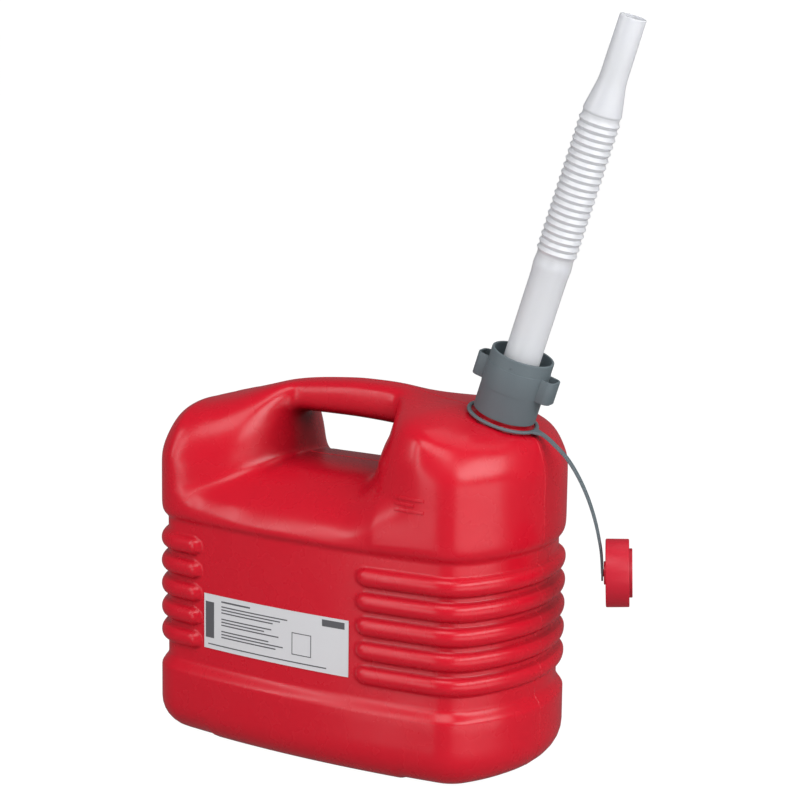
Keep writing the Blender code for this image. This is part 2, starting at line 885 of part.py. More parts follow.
def build_cap(cap_frame):
    red = plain_material("red_cap_plastic", (0.66, 0.016, 0.035), 0.33)
    pale = plain_material("seal_foam", (0.70, 0.69, 0.66), 0.60)
    boss = strap_thickness / 2 + seat_gap
    face = boss + cap_boss_height
    under = face + cap_top_thickness
    rim = face + cap_depth
    hole = button_stem_radius + turning_gap
    inner = cap_radius - cap_wall
    plug = cap_plug_radius - cap_plug_wall
    profile = [
        (hole, under),
        (plug, under),
        (plug, rim + cap_plug_reach),
        (cap_plug_radius, rim + cap_plug_reach),
        (cap_plug_radius, under),
        (inner, under),
        (inner, rim),
        (cap_radius - cap_edge_chamfer, rim),
        (cap_radius, rim - cap_edge_chamfer),
        (cap_radius, face + cap_edge_chamfer),
        (cap_radius - cap_edge_chamfer, face),
        (cap_boss_radius, face),
        (cap_boss_radius, boss),
        (hole, boss),
    ]
    cap = turned("screw_cap", profile, red, fine_steps)
    cap.matrix_world = cap_frame
    low = under + seat_gap
    high = low + seal_thickness
    seal = [
        (cap_plug_radius + seat_gap, high),
        (inner - seat_gap, high),
        (inner - seat_gap, low),
        (cap_plug_radius + seat_gap, low),
    ]
    ring = turned("cap_seal", seal, pale)
    ring.matrix_world = cap_frame


grey_plastic = plain_material("grey_nut_plastic", (0.135, 0.165, 0.18), 0.42)
build_body()
build_label()
build_nut(grey_plastic)
build_spout()
build_cap(build_tether(grey_plastic))
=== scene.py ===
import json
import math

import bmesh
import bpy
import numpy as np
from mathutils import Matrix, Vector
from mathutils.bvhtree import BVHTree


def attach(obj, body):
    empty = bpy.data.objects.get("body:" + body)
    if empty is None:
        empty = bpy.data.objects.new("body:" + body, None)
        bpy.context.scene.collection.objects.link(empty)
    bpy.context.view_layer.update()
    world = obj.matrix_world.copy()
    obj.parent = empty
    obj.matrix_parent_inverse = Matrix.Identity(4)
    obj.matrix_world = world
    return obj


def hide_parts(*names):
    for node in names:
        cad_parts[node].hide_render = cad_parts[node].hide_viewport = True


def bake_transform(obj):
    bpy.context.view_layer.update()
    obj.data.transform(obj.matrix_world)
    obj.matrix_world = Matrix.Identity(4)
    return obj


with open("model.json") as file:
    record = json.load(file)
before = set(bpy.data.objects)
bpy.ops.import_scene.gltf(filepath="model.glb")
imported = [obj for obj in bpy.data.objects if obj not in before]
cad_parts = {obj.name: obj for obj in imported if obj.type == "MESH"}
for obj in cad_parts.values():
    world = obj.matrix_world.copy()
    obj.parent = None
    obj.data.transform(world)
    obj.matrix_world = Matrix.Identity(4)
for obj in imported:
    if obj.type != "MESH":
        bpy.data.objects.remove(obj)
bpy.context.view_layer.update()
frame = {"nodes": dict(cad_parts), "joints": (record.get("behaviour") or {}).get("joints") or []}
joints = {joint["name"]: joint for joint in frame["joints"]}
print("frame loaded")


# Places read from the frame

def jointPlace(name):
    return Vector(joints[name]["pos_m"])


def jointAxis(name):
    return Vector(joints[name]["axis"])


neckFoot = jointPlace("nut_turn")
neckAxis = jointAxis("nut_turn")
neckTilt = math.atan2(neckAxis.x, neckAxis.z)
neckFrame = Matrix.Translation(neckFoot) @ Matrix.Rotation(neckTilt, 4, "Y")
neckInverse = neckFrame.inverted()
strapRoot = jointPlace("strap_flex")
capPlace = jointPlace("cap_spin")
capAxis = jointAxis("cap_spin")
capFrame = Matrix.Translation(capPlace) @ capAxis.to_track_quat("Z", "Y").to_matrix().to_4x4()


def aroundNeck(point):
    # The point in the neck's own frame and its distance from the neck's axis.
    local = neckInverse @ point
    return local, math.hypot(local.x, local.y)


# Materials

surface = {
    "wearScale": 45,
    "wearDetail": 3,
    "wearRange": (0.3, 0.7),
    "wearSpread": 0.03,
    "grainScale": 900,
    "grainDetail": 2,
    "grainDepth": 0.0004,
    # Painted shade in folds and pockets: occlusion reach, darkest share of the colour and occlusion
    # range.
    "paintedShadeReach": 0.13,
    "paintedShadeDepth": 0.2,
    "paintedShadeRange": (0.25, 0.82),
}


def shaderNode(tree, kind, inputs=None, **settings):
    made = tree.nodes.new(kind)
    for key, value in settings.items():
        setattr(made, key, value)
    for place, value in (inputs or {}).items():
        socket = made.inputs[place]
        if isinstance(value, bpy.types.NodeSocket):
            tree.links.new(value, socket)
        else:
            socket.default_value = value
    return made


def noise(tree, place, scale, detail):
    given = {"Vector": place, "Scale": scale, "Detail": detail}
    return shaderNode(tree, "ShaderNodeTexNoise", given).outputs["Fac"]


def mapped(tree, value, low, high, start=0, end=1):
    given = {"Value": value, "From Min": low, "From Max": high, "To Min": start, "To Max": end}
    return shaderNode(tree, "ShaderNodeMapRange", given).outputs["Result"]


def plastic(name, colour, roughness, grain, specular=0.5, **extra):
    material = bpy.data.materials.new(name)
    material.use_nodes = True
    tree = material.node_tree
    shader = tree.nodes["Principled BSDF"]
    shader.inputs["Base Color"].default_value = (*colour, 1)
    shader.inputs["Specular IOR Level"].default_value = specular
    for key, value in extra.items():
        shader.inputs[key].default_value = value
    place = shaderNode(tree, "ShaderNodeTexCoord").outputs["Object"]
    wear = noise(tree, place, surface["wearScale"], surface["wearDetail"])
    spread = surface["wearSpread"]
    rough = mapped(tree, wear, *surface["wearRange"], roughness - spread, roughness + spread)
    tree.links.new(rough, shader.inputs["Roughness"])
    fine = noise(tree, place, surface["grainScale"], surface["grainDetail"])
    given = {"Height": fine, "Strength": grain, "Distance": surface["grainDepth"]}
    bump = shaderNode(tree, "ShaderNodeBump", given).outputs["Normal"]
    tree.links.new(bump, shader.inputs["Normal"])
    return material


def paintFoldShade(material):
    # Painted shade: ambient occlusion darkens the base colour where the moulding folds in on itself, in
    # pockets, creases and under the handle.
    tree = material.node_tree
    shader = tree.nodes["Principled BSDF"]
    full = tuple(shader.inputs["Base Color"].default_value)
    paintedShadeColour = (*(value * surface["paintedShadeDepth"] for value in full[:3]), 1)
    given = {"Distance": surface["paintedShadeReach"]}
    hidden = shaderNode(tree, "ShaderNodeAmbientOcclusion", given, only_local=True).outputs["AO"]
    share = mapped(tree, hidden, *surface["paintedShadeRange"])
    mix = shaderNode(tree, "ShaderNodeMix", {0: share, 6: paintedShadeColour, 7: full}, data_type="RGBA")
    tree.links.new(mix.outputs[2], shader.inputs["Base Color"])


redPlastic = plastic("redPolyethylene", (0.60, 0.0055, 0.02), 0.27, 0.015, 0.4)
# The red moulding gets painted shade in its folds and under the handle.
paintFoldShade(redPlastic)
capPlastic = plastic("redCapPlastic", (0.53, 0.010, 0.027), 0.38, 0.03, 0.35)
greyPlastic = plastic("greyNutPlastic", (0.125, 0.155, 0.17), 0.45, 0.03, 0.3)
milkGlow = {
    "Subsurface Weight": 0.35,
    "Subsurface Radius": (0.004, 0.004, 0.0045),
    "Subsurface Scale": 1.0,
}
milkPlastic = plastic("naturalPolyethylene", (0.66, 0.67, 0.705), 0.32, 0.02, **milkGlow)
sealPlastic = plastic("sealFoam", (0.68, 0.67, 0.64), 0.6, 0.2)
rubber = plastic("gasketRubber", (0.03, 0.03, 0.032), 0.75, 0.1)
labelFilm = plastic("labelFilm", (0.67, 0.67, 0.69), 0.4, 0.0)
labelInk = plastic("labelInk", (0.10, 0.10, 0.11), 0.5, 0.0)


# Shared shape helpers

def placed(name, data):
    made = bpy.data.objects.new(name, data)
    bpy.context.scene.collection.objects.link(made)
    return made


def meshObject(name, points, faces, material):
    mesh = bpy.data.meshes.new(name)
    mesh.from_pydata([tuple(point) for point in points], [], faces)
    made = placed(name, mesh)
    mesh.materials.append(material)
    return made


def cleaned(made, distance=0.00001, sharp=None):
    work = bmesh.new()
    work.from_mesh(made.data)
    bmesh.ops.remove_doubles(work, verts=work.verts, dist=distance)
    bmesh.ops.dissolve_degenerate(work, dist=distance, edges=work.edges)
    bmesh.ops.recalc_face_normals(work, faces=work.faces)
    work.to_mesh(made.data)
    work.free()
    made.data.shade_smooth()
    if sharp:
        made.data.set_sharp_from_angle(angle=math.radians(sharp))
    return made


def baked(made):
    bpy.context.view_layer.update()
    depsgraph = bpy.context.evaluated_depsgraph_get()
    mesh = bpy.data.meshes.new_from_object(made.evaluated_get(depsgraph))
    made.modifiers.clear()
    made.data = mesh
    return made


def merged(target, tools):
    for tool in tools:
        modifier = target.modifiers.new("boolean", "BOOLEAN")
        modifier.operation = "UNION"
        modifier.solver = "EXACT"
        modifier.object = tool
    baked(target)
    for tool in tools:
        bpy.data.objects.remove(tool, do_unlink=True)
    return target


def joinedMeshes(target, others):
    work = bmesh.new()
    for made in (target, *others):
        work.from_mesh(made.data)
    work.to_mesh(target.data)
    work.free()
    for made in others:
        bpy.data.objects.remove(made, do_unlink=True)
    return target


def rounded(corners, radius, steps=3):
    # A corner's third number, where it has one, is its own radius.
    soft = []
    for at, corner in enumerate(corners):
        here = Vector(corner[:2])
        reach = corner[2] if len(corner) > 2 else radius
        if here.x == 0 or reach == 0:
            soft.append(here)
            continue
        before = Vector(corners[at - 1][:2]) - here
        after = Vector(corners[(at + 1) % len(corners)][:2]) - here
        reach = min(reach, before.length * 0.48, after.length * 0.48)
        start = here + before.normalized() * reach
        end = here + after.normalized() * reach
        for step in range(steps + 1):
            share = step / steps
            soft.append(start.lerp(here, share).lerp(here.lerp(end, share), share))
    return soft


def swept(name, frames, section, material, closed=False):
    points = [
        origin + across * a + along * b for origin, across, along in frames for a, b in section
    ]
    width, rings = len(section), len(frames)
    faces = []
    for ring in range(rings if closed else rings - 1):
        after = (ring + 1) % rings
        for at in range(width):
            low, high = ring * width, after * width
            beside = (at + 1) % width
            faces.append((low + at, low + beside, high + beside, high + at))
    if not closed:
        faces.append(tuple(range(width)))
        faces.append(tuple((rings - 1) * width + at for at in reversed(range(width))))
    return meshObject(name, points, faces, material)


def lathed(name, profile, place, material, steps=96, sharp=40):
    frames = []
    spin = place.to_3x3()
    for step in range(steps):
        turn = 2 * math.pi * step / steps
        outward = spin @ Vector((math.cos(turn), math.sin(turn), 0))
        frames.append((place.translation, outward, spin @ Vector((0, 0, 1))))
    made = swept(name, frames, profile, material, closed=True)
    return cleaned(made, sharp=sharp)


def smoothCurve(stations, values, wanted):
    # Monotone cubic through the values, so nothing overshoots.
    stations = np.asarray(stations, float)
    values = np.asarray(values, float).reshape(len(stations), -1)
    gaps = np.diff(stations)
    slopes = np.diff(values, axis=0) / gaps[:, None]
    tangents = np.zeros_like(values)
    tangents[0], tangents[-1] = slopes[0], slopes[-1]
    same = slopes[:-1] * slopes[1:] > 0
    before = 2 * gaps[1:, None] + gaps[:-1, None]
    after = gaps[1:, None] + 2 * gaps[:-1, None]
    with np.errstate(divide="ignore", invalid="ignore"):
        mean = (before + after) / (before / slopes[:-1] + after / slopes[1:])
    tangents[1:-1] = np.where(same, mean, 0)
    wanted = np.asarray(wanted, float)
    at = np.clip(np.searchsorted(stations, wanted, side="right") - 1, 0, len(gaps) - 1)
    step = gaps[at][:, None]
    share = ((wanted - stations[at])[:, None]) / step
    return (
        (2 * share**3 - 3 * share**2 + 1) * values[at]
        + (share**3 - 2 * share**2 + share) * step * tangents[at]
        + (3 * share**2 - 2 * share**3) * values[at + 1]
        + (share**3 - share**2) * step * tangents[at + 1]
    )


def between(low, high, share):
    return low + (high - low) * share


# Can body: one skin over a plan of arcs, with the section tables of the solid it replaces,
# but a rounder rise to the saddle, and softer folds, lip and far root of the handle.

can = {
    "halfLength": 0.157,
    "halfWidth": 0.088,
    "height": 0.275,
    "cornerRadius": 0.0357,
    "endBow": 0.0119,
    "sideBow": 0.0074,
    "baseEdge": 0.025,
    "bandHead": 0.052,
    "bandRoom": 0.002,
    "recessFoot": 0.0603,
    "recessHead": 0.1658,
    "shoulder": 0.172,
    "recess": 0.0053,
    "ribCount": 5,
    "ribMargin": 0.0102,
    "ribHalfShare": 0.38,
    "farRibEnd": -0.0915,
    "nearRibEnd": 0.051,
    "ribEndLength": 0.009,
    "wall": 0.0018,
    "footReach": 0.083,
    "footRun": 0.004,
    "footStep": 0.0013,
    "seamRoom": 0.9985,
    "spacing": 0.002,
    "recessRows": 88,
    "leastGap": 0.00002,
    "softFactor": 0.5,
    "softRoom": 0.009,
    "softSteps": 50,
    "leastSoft": 0.15,
    # Each box: lowest and highest z, left and right x, least distance from the middle plane.
    "lipBox": (0.168, 0.226, -0.100, 0.066, 0.040),
    "lipSteps": 110,
    "rootBox": (0.186, 0.268, -0.122, -0.046, 0.018),
    "rootSteps": 90,
}
can["cornerX"] = can["halfLength"] - can["endBow"] - can["cornerRadius"]
can["cornerY"] = can["halfWidth"] - can["sideBow"] - can["cornerRadius"]
can["endRadius"] = (can["cornerY"] ** 2 + can["endBow"] ** 2) / (2 * can["endBow"])
can["sideRadius"] = (can["cornerX"] ** 2 + can["sideBow"] ** 2) / (2 * can["sideBow"])
can["endTurn"] = math.asin(can["cornerY"] / can["endRadius"])
can["sideTurn"] = math.pi / 2 - math.asin(can["cornerX"] / can["sideRadius"])
can["upper"] = can["height"] - can["shoulder"]

# Plan x, x at the waist's foot and head, waist width, waist foot, waist head,
# shoulder width, ridge x and grip.
sideForms = [
    (-0.656, -0.643, -0.643, 0.841, 0.214, 0.350, 0.659, -0.618, 0),
    (-0.611, -0.592, -0.592, 0.807, 0.233, 0.379, 0.614, -0.580, 0),
    (-0.583, -0.548, -0.554, 0.761, 0.252, 0.417, 0.557, -0.541, 0),
    (-0.510, -0.471, -0.484, 0.670, 0.291, 0.505, 0.455, -0.484, 0.05),
    (-0.446, -0.408, -0.427, 0.557, 0.340, 0.592, 0.364, -0.433, 0.2),
    (-0.395, -0.357, -0.382, 0.420, 0.379, 0.655, 0.290, -0.389, 0.45),
    (-0.357, -0.325, -0.350, 0.239, 0.411, 0.699, 0.227, -0.360, 0.8),
    (-0.318, -0.306, -0.325, 0.000, 0.417, 0.718, 0.193, -0.325, 1),
    (-0.191, -0.191, -0.191, 0.000, 0.417, 0.723, 0.193, -0.191, 1),
    (-0.051, -0.051, -0.051, 0.000, 0.417, 0.723, 0.193, -0.051, 1),
    (0.089, 0.089, 0.089, 0.000, 0.417, 0.718, 0.193, 0.089, 1),
    (0.217, 0.197, 0.261, 0.000, 0.417, 0.704, 0.193, 0.268, 1),
    (0.261, 0.207, 0.274, 0.250, 0.413, 0.704, 0.227, 0.312, 0.8),
    (0.299, 0.229, 0.299, 0.455, 0.403, 0.689, 0.307, 0.357, 0.5),
    (0.325, 0.268, 0.338, 0.625, 0.388, 0.660, 0.432, 0.401, 0.25),
    (0.350, 0.331, 0.389, 0.750, 0.374, 0.631, 0.568, 0.446, 0.1),
    (0.382, 0.408, 0.446, 0.830, 0.359, 0.602, 0.693, 0.490, 0),
    (0.478, 0.522, 0.535, 0.898, 0.340, 0.573, 0.807, 0.561, 0),
    (0.605, 0.631, 0.634, 0.926, 0.320, 0.553, 0.847, 0.643, 0),
]
endForms = {
    "far": ((0.270, 0.420, 0.68, -0.790), (0.240, 0.370, 0.80, -0.662)),
    "near": ((0.300, 0.470, 0.64, 0.885), (0.310, 0.490, 0.86, 0.730)),
}
ridgeForm = [
    (-0.790, 0.752), (-0.721, 0.797), (-0.548, 0.874), (-0.363, 0.947), (-0.153, 0.985),
    (0, 1), (0.134, 1), (0.280, 0.983), (0.382, 0.954), (0.459, 0.932), (0.554, 0.918),
    (0.643, 0.883), (0.771, 0.821), (0.885, 0.738),
]
# Inward and upward shares of the rise from the shoulder line to the waist.
saddleRise = [
    (0.03, 0.18), (0.10, 0.38), (0.22, 0.58), (0.37, 0.75),
    (0.53, 0.88), (0.68, 0.96), (0.83, 0.99), (1, 1),
]
shoulderRise = [
    (0.03, 0.20), (0.12, 0.38), (0.28, 0.53), (0.48, 0.66),
    (0.68, 0.78), (0.84, 0.88), (0.95, 0.95), (1, 1),
]
waistSteps = (1 / 3, 2 / 3, 1)
# Shares of the waist, of the shoulder width and of the height, up to the ridge.
gripCap = [
    (0.15, 0.55, 0.02), (0, 1, 0.20), (0, 1, 0.70), (0, 0.80, 0.92), (0, 0.42, 0.99), (0, 0, 1),
]
domeCap = [
    (0.88, 0.12, 0.20), (0.55, 0.45, 0.47), (0.12, 0.88, 0.74),
    (0, 0.75, 0.92), (0, 0.40, 0.985), (0, 0, 1),
]


def planLengths():
    # Turns of the outline's normal where its arcs meet, and the lengths up to them.
    end = (can["endRadius"] + can["cornerRadius"]) * can["endTurn"]
    corner = can["cornerRadius"] * (can["sideTurn"] - can["endTurn"])
    side = (can["sideRadius"] + can["cornerRadius"]) * (math.pi - 2 * can["sideTurn"])
    low, high = can["endTurn"], can["sideTurn"]
    turns = [0, low, high, math.pi - high, math.pi - low, math.pi]
    return turns, np.cumsum([0, end, corner, side, corner, end])


def planPoint(turn):
    facing = min(turn, math.pi - turn)
    radius = can["cornerRadius"]
    if facing < can["endTurn"]:
        centre = (can["halfLength"] - radius - can["endRadius"], 0)
        radius += can["endRadius"]
    elif facing < can["sideTurn"]:
        centre = (can["cornerX"], can["cornerY"])
    else:
        centre = (0, can["halfWidth"] - radius - can["sideRadius"])
        radius += can["sideRadius"]
    x = centre[0] + radius * math.cos(facing)
    y = centre[1] + radius * math.sin(facing)
    return (x if turn < math.pi / 2 else -x), y


def endColumns(side):
    ends, corners = 3, 4
    turns = [can["endTurn"] * at / ends for at in range(ends)]
    turns += [between(can["endTurn"], can["sideTurn"], at / corners) for at in range(corners + 1)]
    middle, corner = endForms[side]
    columns = []
    for turn in turns:
        share = turn / can["sideTurn"]
        low, high, ratio, ridge = (between(a, b, share) for a, b in zip(middle, corner))
        turn = math.pi - turn if side == "far" else turn
        x, y = planPoint(turn)
        columns.append((turn, x, x, y, low, high, y * ratio, ratio, ridge * can["halfLength"], 0))
    return columns


def formColumns():
    length, width = can["halfLength"], can["halfWidth"]
    columns = endColumns("near")
    for planX, footX, headX, waist, low, high, shoulder, ridge, grip in reversed(sideForms):
        turn = math.acos(planX * length / (can["sideRadius"] + can["cornerRadius"]))
        ratio = shoulder / waist if waist else 1
        section = (waist * width, low, high, shoulder * width, ratio)
        columns.append((turn, footX * length, headX * length, *section, ridge * length, grip))
    return columns + list(reversed(endColumns("far")))


def columnStations(stations):
    wanted = [stations[0]]
    for low, high in zip(stations, stations[1:]):
        parts = max(1, round((high - low) / can["spacing"]))
        wanted += [between(low, high, part / parts) for part in range(1, parts + 1)]
    return np.array(wanted)


def ribHeight(x, z):
    # 1 on the crest of a rib and 0 in the recess, with round ends.
    room = can["recessHead"] - can["recessFoot"] - 2 * can["ribMargin"]
    pitch = room / (can["ribCount"] - 1 + 2 * can["ribHalfShare"])
    half = pitch * can["ribHalfShare"]
    inside = max(can["farRibEnd"] - x, x - can["nearRibEnd"])
    past = max(0, can["ribEndLength"] - inside) / can["ribEndLength"]
    tallest = 0
    for rib in range(can["ribCount"]):
        centre = can["recessFoot"] + can["ribMargin"] + half + pitch * rib
        reach = math.hypot((z - centre) / half, past)
        if reach < 1:
            tallest = max(tallest, math.sqrt(1 - reach**2))
    return tallest


def softStep(share):
    share = min(max(share, 0), 1)
    return share * share * (3 - 2 * share)


def tubRows():
    rows = []
    edge, steps = can["baseEdge"], 8
    for step in range(steps + 1):
        lean = math.pi / 2 * step / steps
        rows.append((edge * (1 - math.cos(lean)), edge * (1 - math.sin(lean))))
    low, high = can["bandHead"] - can["bandRoom"], can["recessFoot"]
    rows += [(between(edge, low, at / 4), 0) for at in range(1, 5)]
    rows += [(between(low, high, at / 8), can["recess"] * softStep(at / 8)) for at in range(1, 9)]
    count = can["recessRows"]
    low, high = high, can["recessHead"]
    return rows + [(between(low, high, at / count), can["recess"]) for at in range(1, count)]


def ridgeHeight(x):
    shares, heights = zip(*ridgeForm)
    share = min(max(x / can["halfLength"], shares[0]), shares[-1])
    return can["shoulder"] + can["upper"] * smoothCurve(shares, heights, [share])[0, 0]


def upperPath(turn, form):
    footX, headX, waist, low, high, shoulder, ratio, ridgeX, grip = form
    planX, planY = planPoint(turn)
    outward = Vector((math.cos(turn), math.sin(turn)))
    edge = Vector((planX, planY))
    inner = edge - outward * can["recess"]
    waistFoot = can["shoulder"] + can["upper"] * low
    waistHead = can["shoulder"] + can["upper"] * high
    ridge = ridgeHeight(ridgeX)
    points = [(*inner, can["recessHead"]), (*edge, can["shoulder"])]
    for saddle, smooth in zip(saddleRise, shoulderRise):
        inward = between(smooth[0], saddle[0], grip)
        upward = between(smooth[1], saddle[1], grip)
        x, y = between(planX, footX, inward), between(planY, waist, inward)
        points.append((x, y, between(can["shoulder"], waistFoot, upward)))
    for share in waistSteps:
        points.append((between(footX, headX, share), waist, between(waistFoot, waistHead, share)))
    for held, domed in zip(gripCap, domeCap):
        parts = [between(dome, hold, grip) for hold, dome in zip(held, domed)]
        gone = 1 - domed[0] - domed[1] * min(ratio, 1)
        y = parts[0] * waist + parts[1] * shoulder
        points.append((between(headX, ridgeX, gone), y, between(waistHead, ridge, parts[2])))
    return np.array(points)


riseSteps, capSteps = len(saddleRise), len(gripCap)
pathSteps = [5] + [3] * riseSteps + [3] * len(waistSteps) + [4] * capSteps


def pathPoints(turn, form):
    path = upperPath(turn, form)
    gaps = np.linalg.norm(np.diff(path, axis=0), axis=1)
    stations = np.concatenate([[0], np.cumsum(np.maximum(gaps, can["leastGap"]))])
    wanted = [0]
    for low, high, steps in zip(stations, stations[1:], pathSteps):
        wanted += [between(low, high, step / steps) for step in range(1, steps + 1)]
    return smoothCurve(stations, path, wanted)


neck = {
    "radius": 0.0196,
    "bore": 0.0178,
    "head": 0.024,
    "collar": 0.0235,
    "collarHead": -0.0044,
    "seat": -0.0047,
    "seatReach": 0.0318,
    "seatEnd": 0.06,
    "root": -0.020,
    "skinHole": 0.0188,
    "skinHoleDepth": 0.03,
    "threadPitch": 0.004,
    "threadTurns": 3.6,
    "threadSize": 0.00085,
    "threadRoom": 0.0002,
    "threadHead": 0.0022,
    "threadSteps": 48,
    "threadTaper": 16.0,
    "threadTip": 0.05,
}


def seatLimited(point):
    # The skin stays below the seat that the tether's ring lies on.
    local, reach = aroundNeck(point)
    limit = neck["seat"] + max(0, reach - neck["seatReach"])
    if 0 < point.z and local.z > limit and reach < neck["seatEnd"]:
        local.z = limit
        return neckFrame @ local
    return point


def gripRange(columns, stations):
    held = [at for at, column in enumerate(columns) if column[-1] == 1]
    return stations[held[0]], stations[held[-1]]


def canSkin():
    columns = formColumns()
    turns, lengths = planLengths()
    stations = np.interp([column[0] for column in columns], turns, lengths)
    forms = np.array([column[1:] for column in columns])
    wanted = columnStations(stations)
    fineForms = smoothCurve(stations, forms, wanted)
    tub = tubRows()
    lowRow = len(tub) + sum(pathSteps[: 1 + riseSteps]) + 1
    highRow = lowRow + sum(pathSteps[1 + riseSteps : 1 + riseSteps + len(waistSteps)])
    grid = []
    for station, form in zip(wanted, fineForms):
        turn = float(np.interp(station, lengths, turns))
        planX, planY = planPoint(turn)
        nearX, nearY = math.cos(turn), math.sin(turn)
        lift = can["footStep"] * softStep((abs(planX) - can["footReach"]) / can["footRun"])
        points = [(planX - can["baseEdge"] * nearX, 0, lift)]
        for height, inset in tub:
            if height > can["recessFoot"]:
                inset = can["recess"] * (1 - ribHeight(planX, height))
            rise = lift * (1 - height / can["baseEdge"]) if height < can["baseEdge"] else 0
            points.append((planX - inset * nearX, planY - inset * nearY, height + rise))
        points += [tuple(point) for point in pathPoints(turn, form)]
        grid.append([seatLimited(Vector((x * can["seamRoom"], -max(y, 0), z))) for x, y, z in points])
    return grid, wanted, gripRange(columns, stations), (lowRow, highRow)


def skinFaces(grid, wanted, grip, rows, sign):
    width = len(grid[0])
    faces = []
    for left in range(len(grid) - 1):
        held = grip[0] - 1e-6 < wanted[left] and wanted[left + 1] < grip[1] + 1e-6
        for low in range(width - 1):
            if held and rows[0] <= low < rows[1]:
                continue
            at = left * width + low
            corners = (at, at + width, at + width + 1, at + 1)
            middle = sum((grid[corner // width][corner % width] for corner in corners), Vector()) / 4
            local, reach = aroundNeck(middle)
            if reach < neck["skinHole"] and abs(local.z) < neck["skinHoleDepth"]:
                continue
            faces.append(corners if sign < 0 else corners[::-1])
    return faces


def upperShare(point):
    # Full above the shoulder, light beside the neck's seat.
    away = softStep((aroundNeck(point)[1] - neck["seatReach"]) / can["softRoom"])
    edge = softStep((point.z - can["recessHead"]) / can["softRoom"])
    return between(can["leastSoft"], 1, away * edge)


def boxShare(box):
    # Full inside a box on both sides of the can, none at its faces.
    low, high, left, right, inner = box

    def share(point):
        along = min(point.x - left, right - point.x)
        inside = min(point.z - low, high - point.z, along, abs(point.y) - inner)
        return softStep(inside / can["softRoom"])

    return share


def softened(skin, name, share, steps):
    group = skin.vertex_groups.new(name=name)
    for vert in skin.data.vertices:
        weight = share(vert.co)
        if vert.co.z > can["recessHead"] and weight > 0:
            group.add([vert.index], weight, "ADD")
    smooth = skin.modifiers.new(name, "SMOOTH")
    smooth.factor = can["softFactor"]
    smooth.iterations = steps
    smooth.vertex_group = name


def buildCan():
    grid, wanted, grip, rows = canSkin()
    points = []
    faces = []
    for sign in (-1, 1):
        offset = len(points)
        points += [Vector((point.x, -sign * point.y, point.z)) for column in grid for point in column]
        half = skinFaces(grid, wanted, grip, rows, sign)
        faces += [tuple(at + offset for at in face) for face in half]
    skin = cleaned(meshObject("canSkin", points, faces, redPlastic))
    work = bmesh.new()
    work.from_mesh(skin.data)
    loose = [vert for vert in work.verts if not vert.link_faces]
    bmesh.ops.delete(work, geom=loose, context="VERTS")
    work.to_mesh(skin.data)
    work.free()
    softened(skin, "upper", upperShare, can["softSteps"])
    softened(skin, "lip", boxShare(can["lipBox"]), can["lipSteps"])
    softened(skin, "root", boxShare(can["rootBox"]), can["rootSteps"])
    baked(skin)
    shell = skin.modifiers.new("wall", "SOLIDIFY")
    shell.thickness = can["wall"]
    shell.offset = -1
    baked(skin)
    skin.data.shade_smooth()
    return skin, grid, rows


def buildNeck():
    profile = rounded(
        [
            (neck["bore"], neck["root"]),
            (neck["collar"], neck["root"]),
            (neck["collar"], neck["collarHead"]),
            (neck["radius"], neck["collarHead"], 0.0012),
            (neck["radius"], neck["head"]),
            (neck["bore"], neck["head"]),
        ],
        0.0004,
    )
    return lathed("canNeck", profile, neckFrame, redPlastic)


# Geometry nodes: thread, parting bead and bellows

def nodeTree(name, floats, counts=()):
    tree = bpy.data.node_groups.new(name, "GeometryNodeTree")
    sockets = tree.interface.new_socket
    sockets("Geometry", in_out="INPUT", socket_type="NodeSocketGeometry")
    for labels, kind in ((floats, "NodeSocketFloat"), (counts, "NodeSocketInt")):
        for socket in labels:
            sockets(socket, in_out="INPUT", socket_type=kind)
    sockets("Geometry", in_out="OUTPUT", socket_type="NodeSocketGeometry")
    return tree, tree.nodes.new("NodeGroupInput").outputs


def closeTree(tree, geometry, material):
    solid = shaderNode(tree, "GeometryNodeRealizeInstances", {"Geometry": geometry})
    given = {"Geometry": solid.outputs[0], "Material": material}
    painted = shaderNode(tree, "GeometryNodeSetMaterial", given)
    shaderNode(tree, "NodeGroupOutput", {"Geometry": painted.outputs[0]})
    return tree


def mathNode(tree, operation, *values):
    return shaderNode(tree, "ShaderNodeMath", dict(enumerate(values)), operation=operation).outputs[0]


def beadNode(tree, curve, radius, **scale):
    circle = {"Resolution": 8, "Radius": radius}
    bead = shaderNode(tree, "GeometryNodeCurvePrimitiveCircle", circle).outputs[0]
    given = {"Curve": curve, "Profile Curve": bead, "Fill Caps": True, **scale}
    return shaderNode(tree, "GeometryNodeCurveToMesh", given).outputs[0]


def grown(name, tree, values, mesh=None):
    made = placed(name, mesh or bpy.data.meshes.new(name))
    modifier = made.modifiers.new("grow", "NODES")
    modifier.node_group = tree
    for item in tree.interface.items_tree:
        if item.in_out == "INPUT" and item.name in values:
            modifier[item.identifier] = values[item.name]
    return baked(made)


def threadTree():
    tree, value = nodeTree("neckThread", ("Turns", "Radius", "Height", "Bead"), ("Steps",))
    given = {
        "Resolution": value["Steps"],
        "Rotations": value["Turns"],
        "Start Radius": value["Radius"],
        "End Radius": value["Radius"],
        "Height": value["Height"],
    }
    helix = shaderNode(tree, "GeometryNodeCurveSpiral", given).outputs[0]
    share = shaderNode(tree, "GeometryNodeSplineParameter").outputs["Factor"]
    ends = mathNode(tree, "MINIMUM", share, mathNode(tree, "SUBTRACT", 1.0, share))
    taper = mathNode(tree, "MINIMUM", mathNode(tree, "MULTIPLY", ends, neck["threadTaper"]), 1.0)
    taper = mathNode(tree, "MAXIMUM", taper, neck["threadTip"])
    given = {"Curve": helix, "Radius": taper}
    tapered = shaderNode(tree, "GeometryNodeSetCurveRadius", given).outputs[0]
    radius = shaderNode(tree, "GeometryNodeInputRadius").outputs[0]
    return closeTree(tree, beadNode(tree, tapered, value["Bead"], Scale=radius), redPlastic)


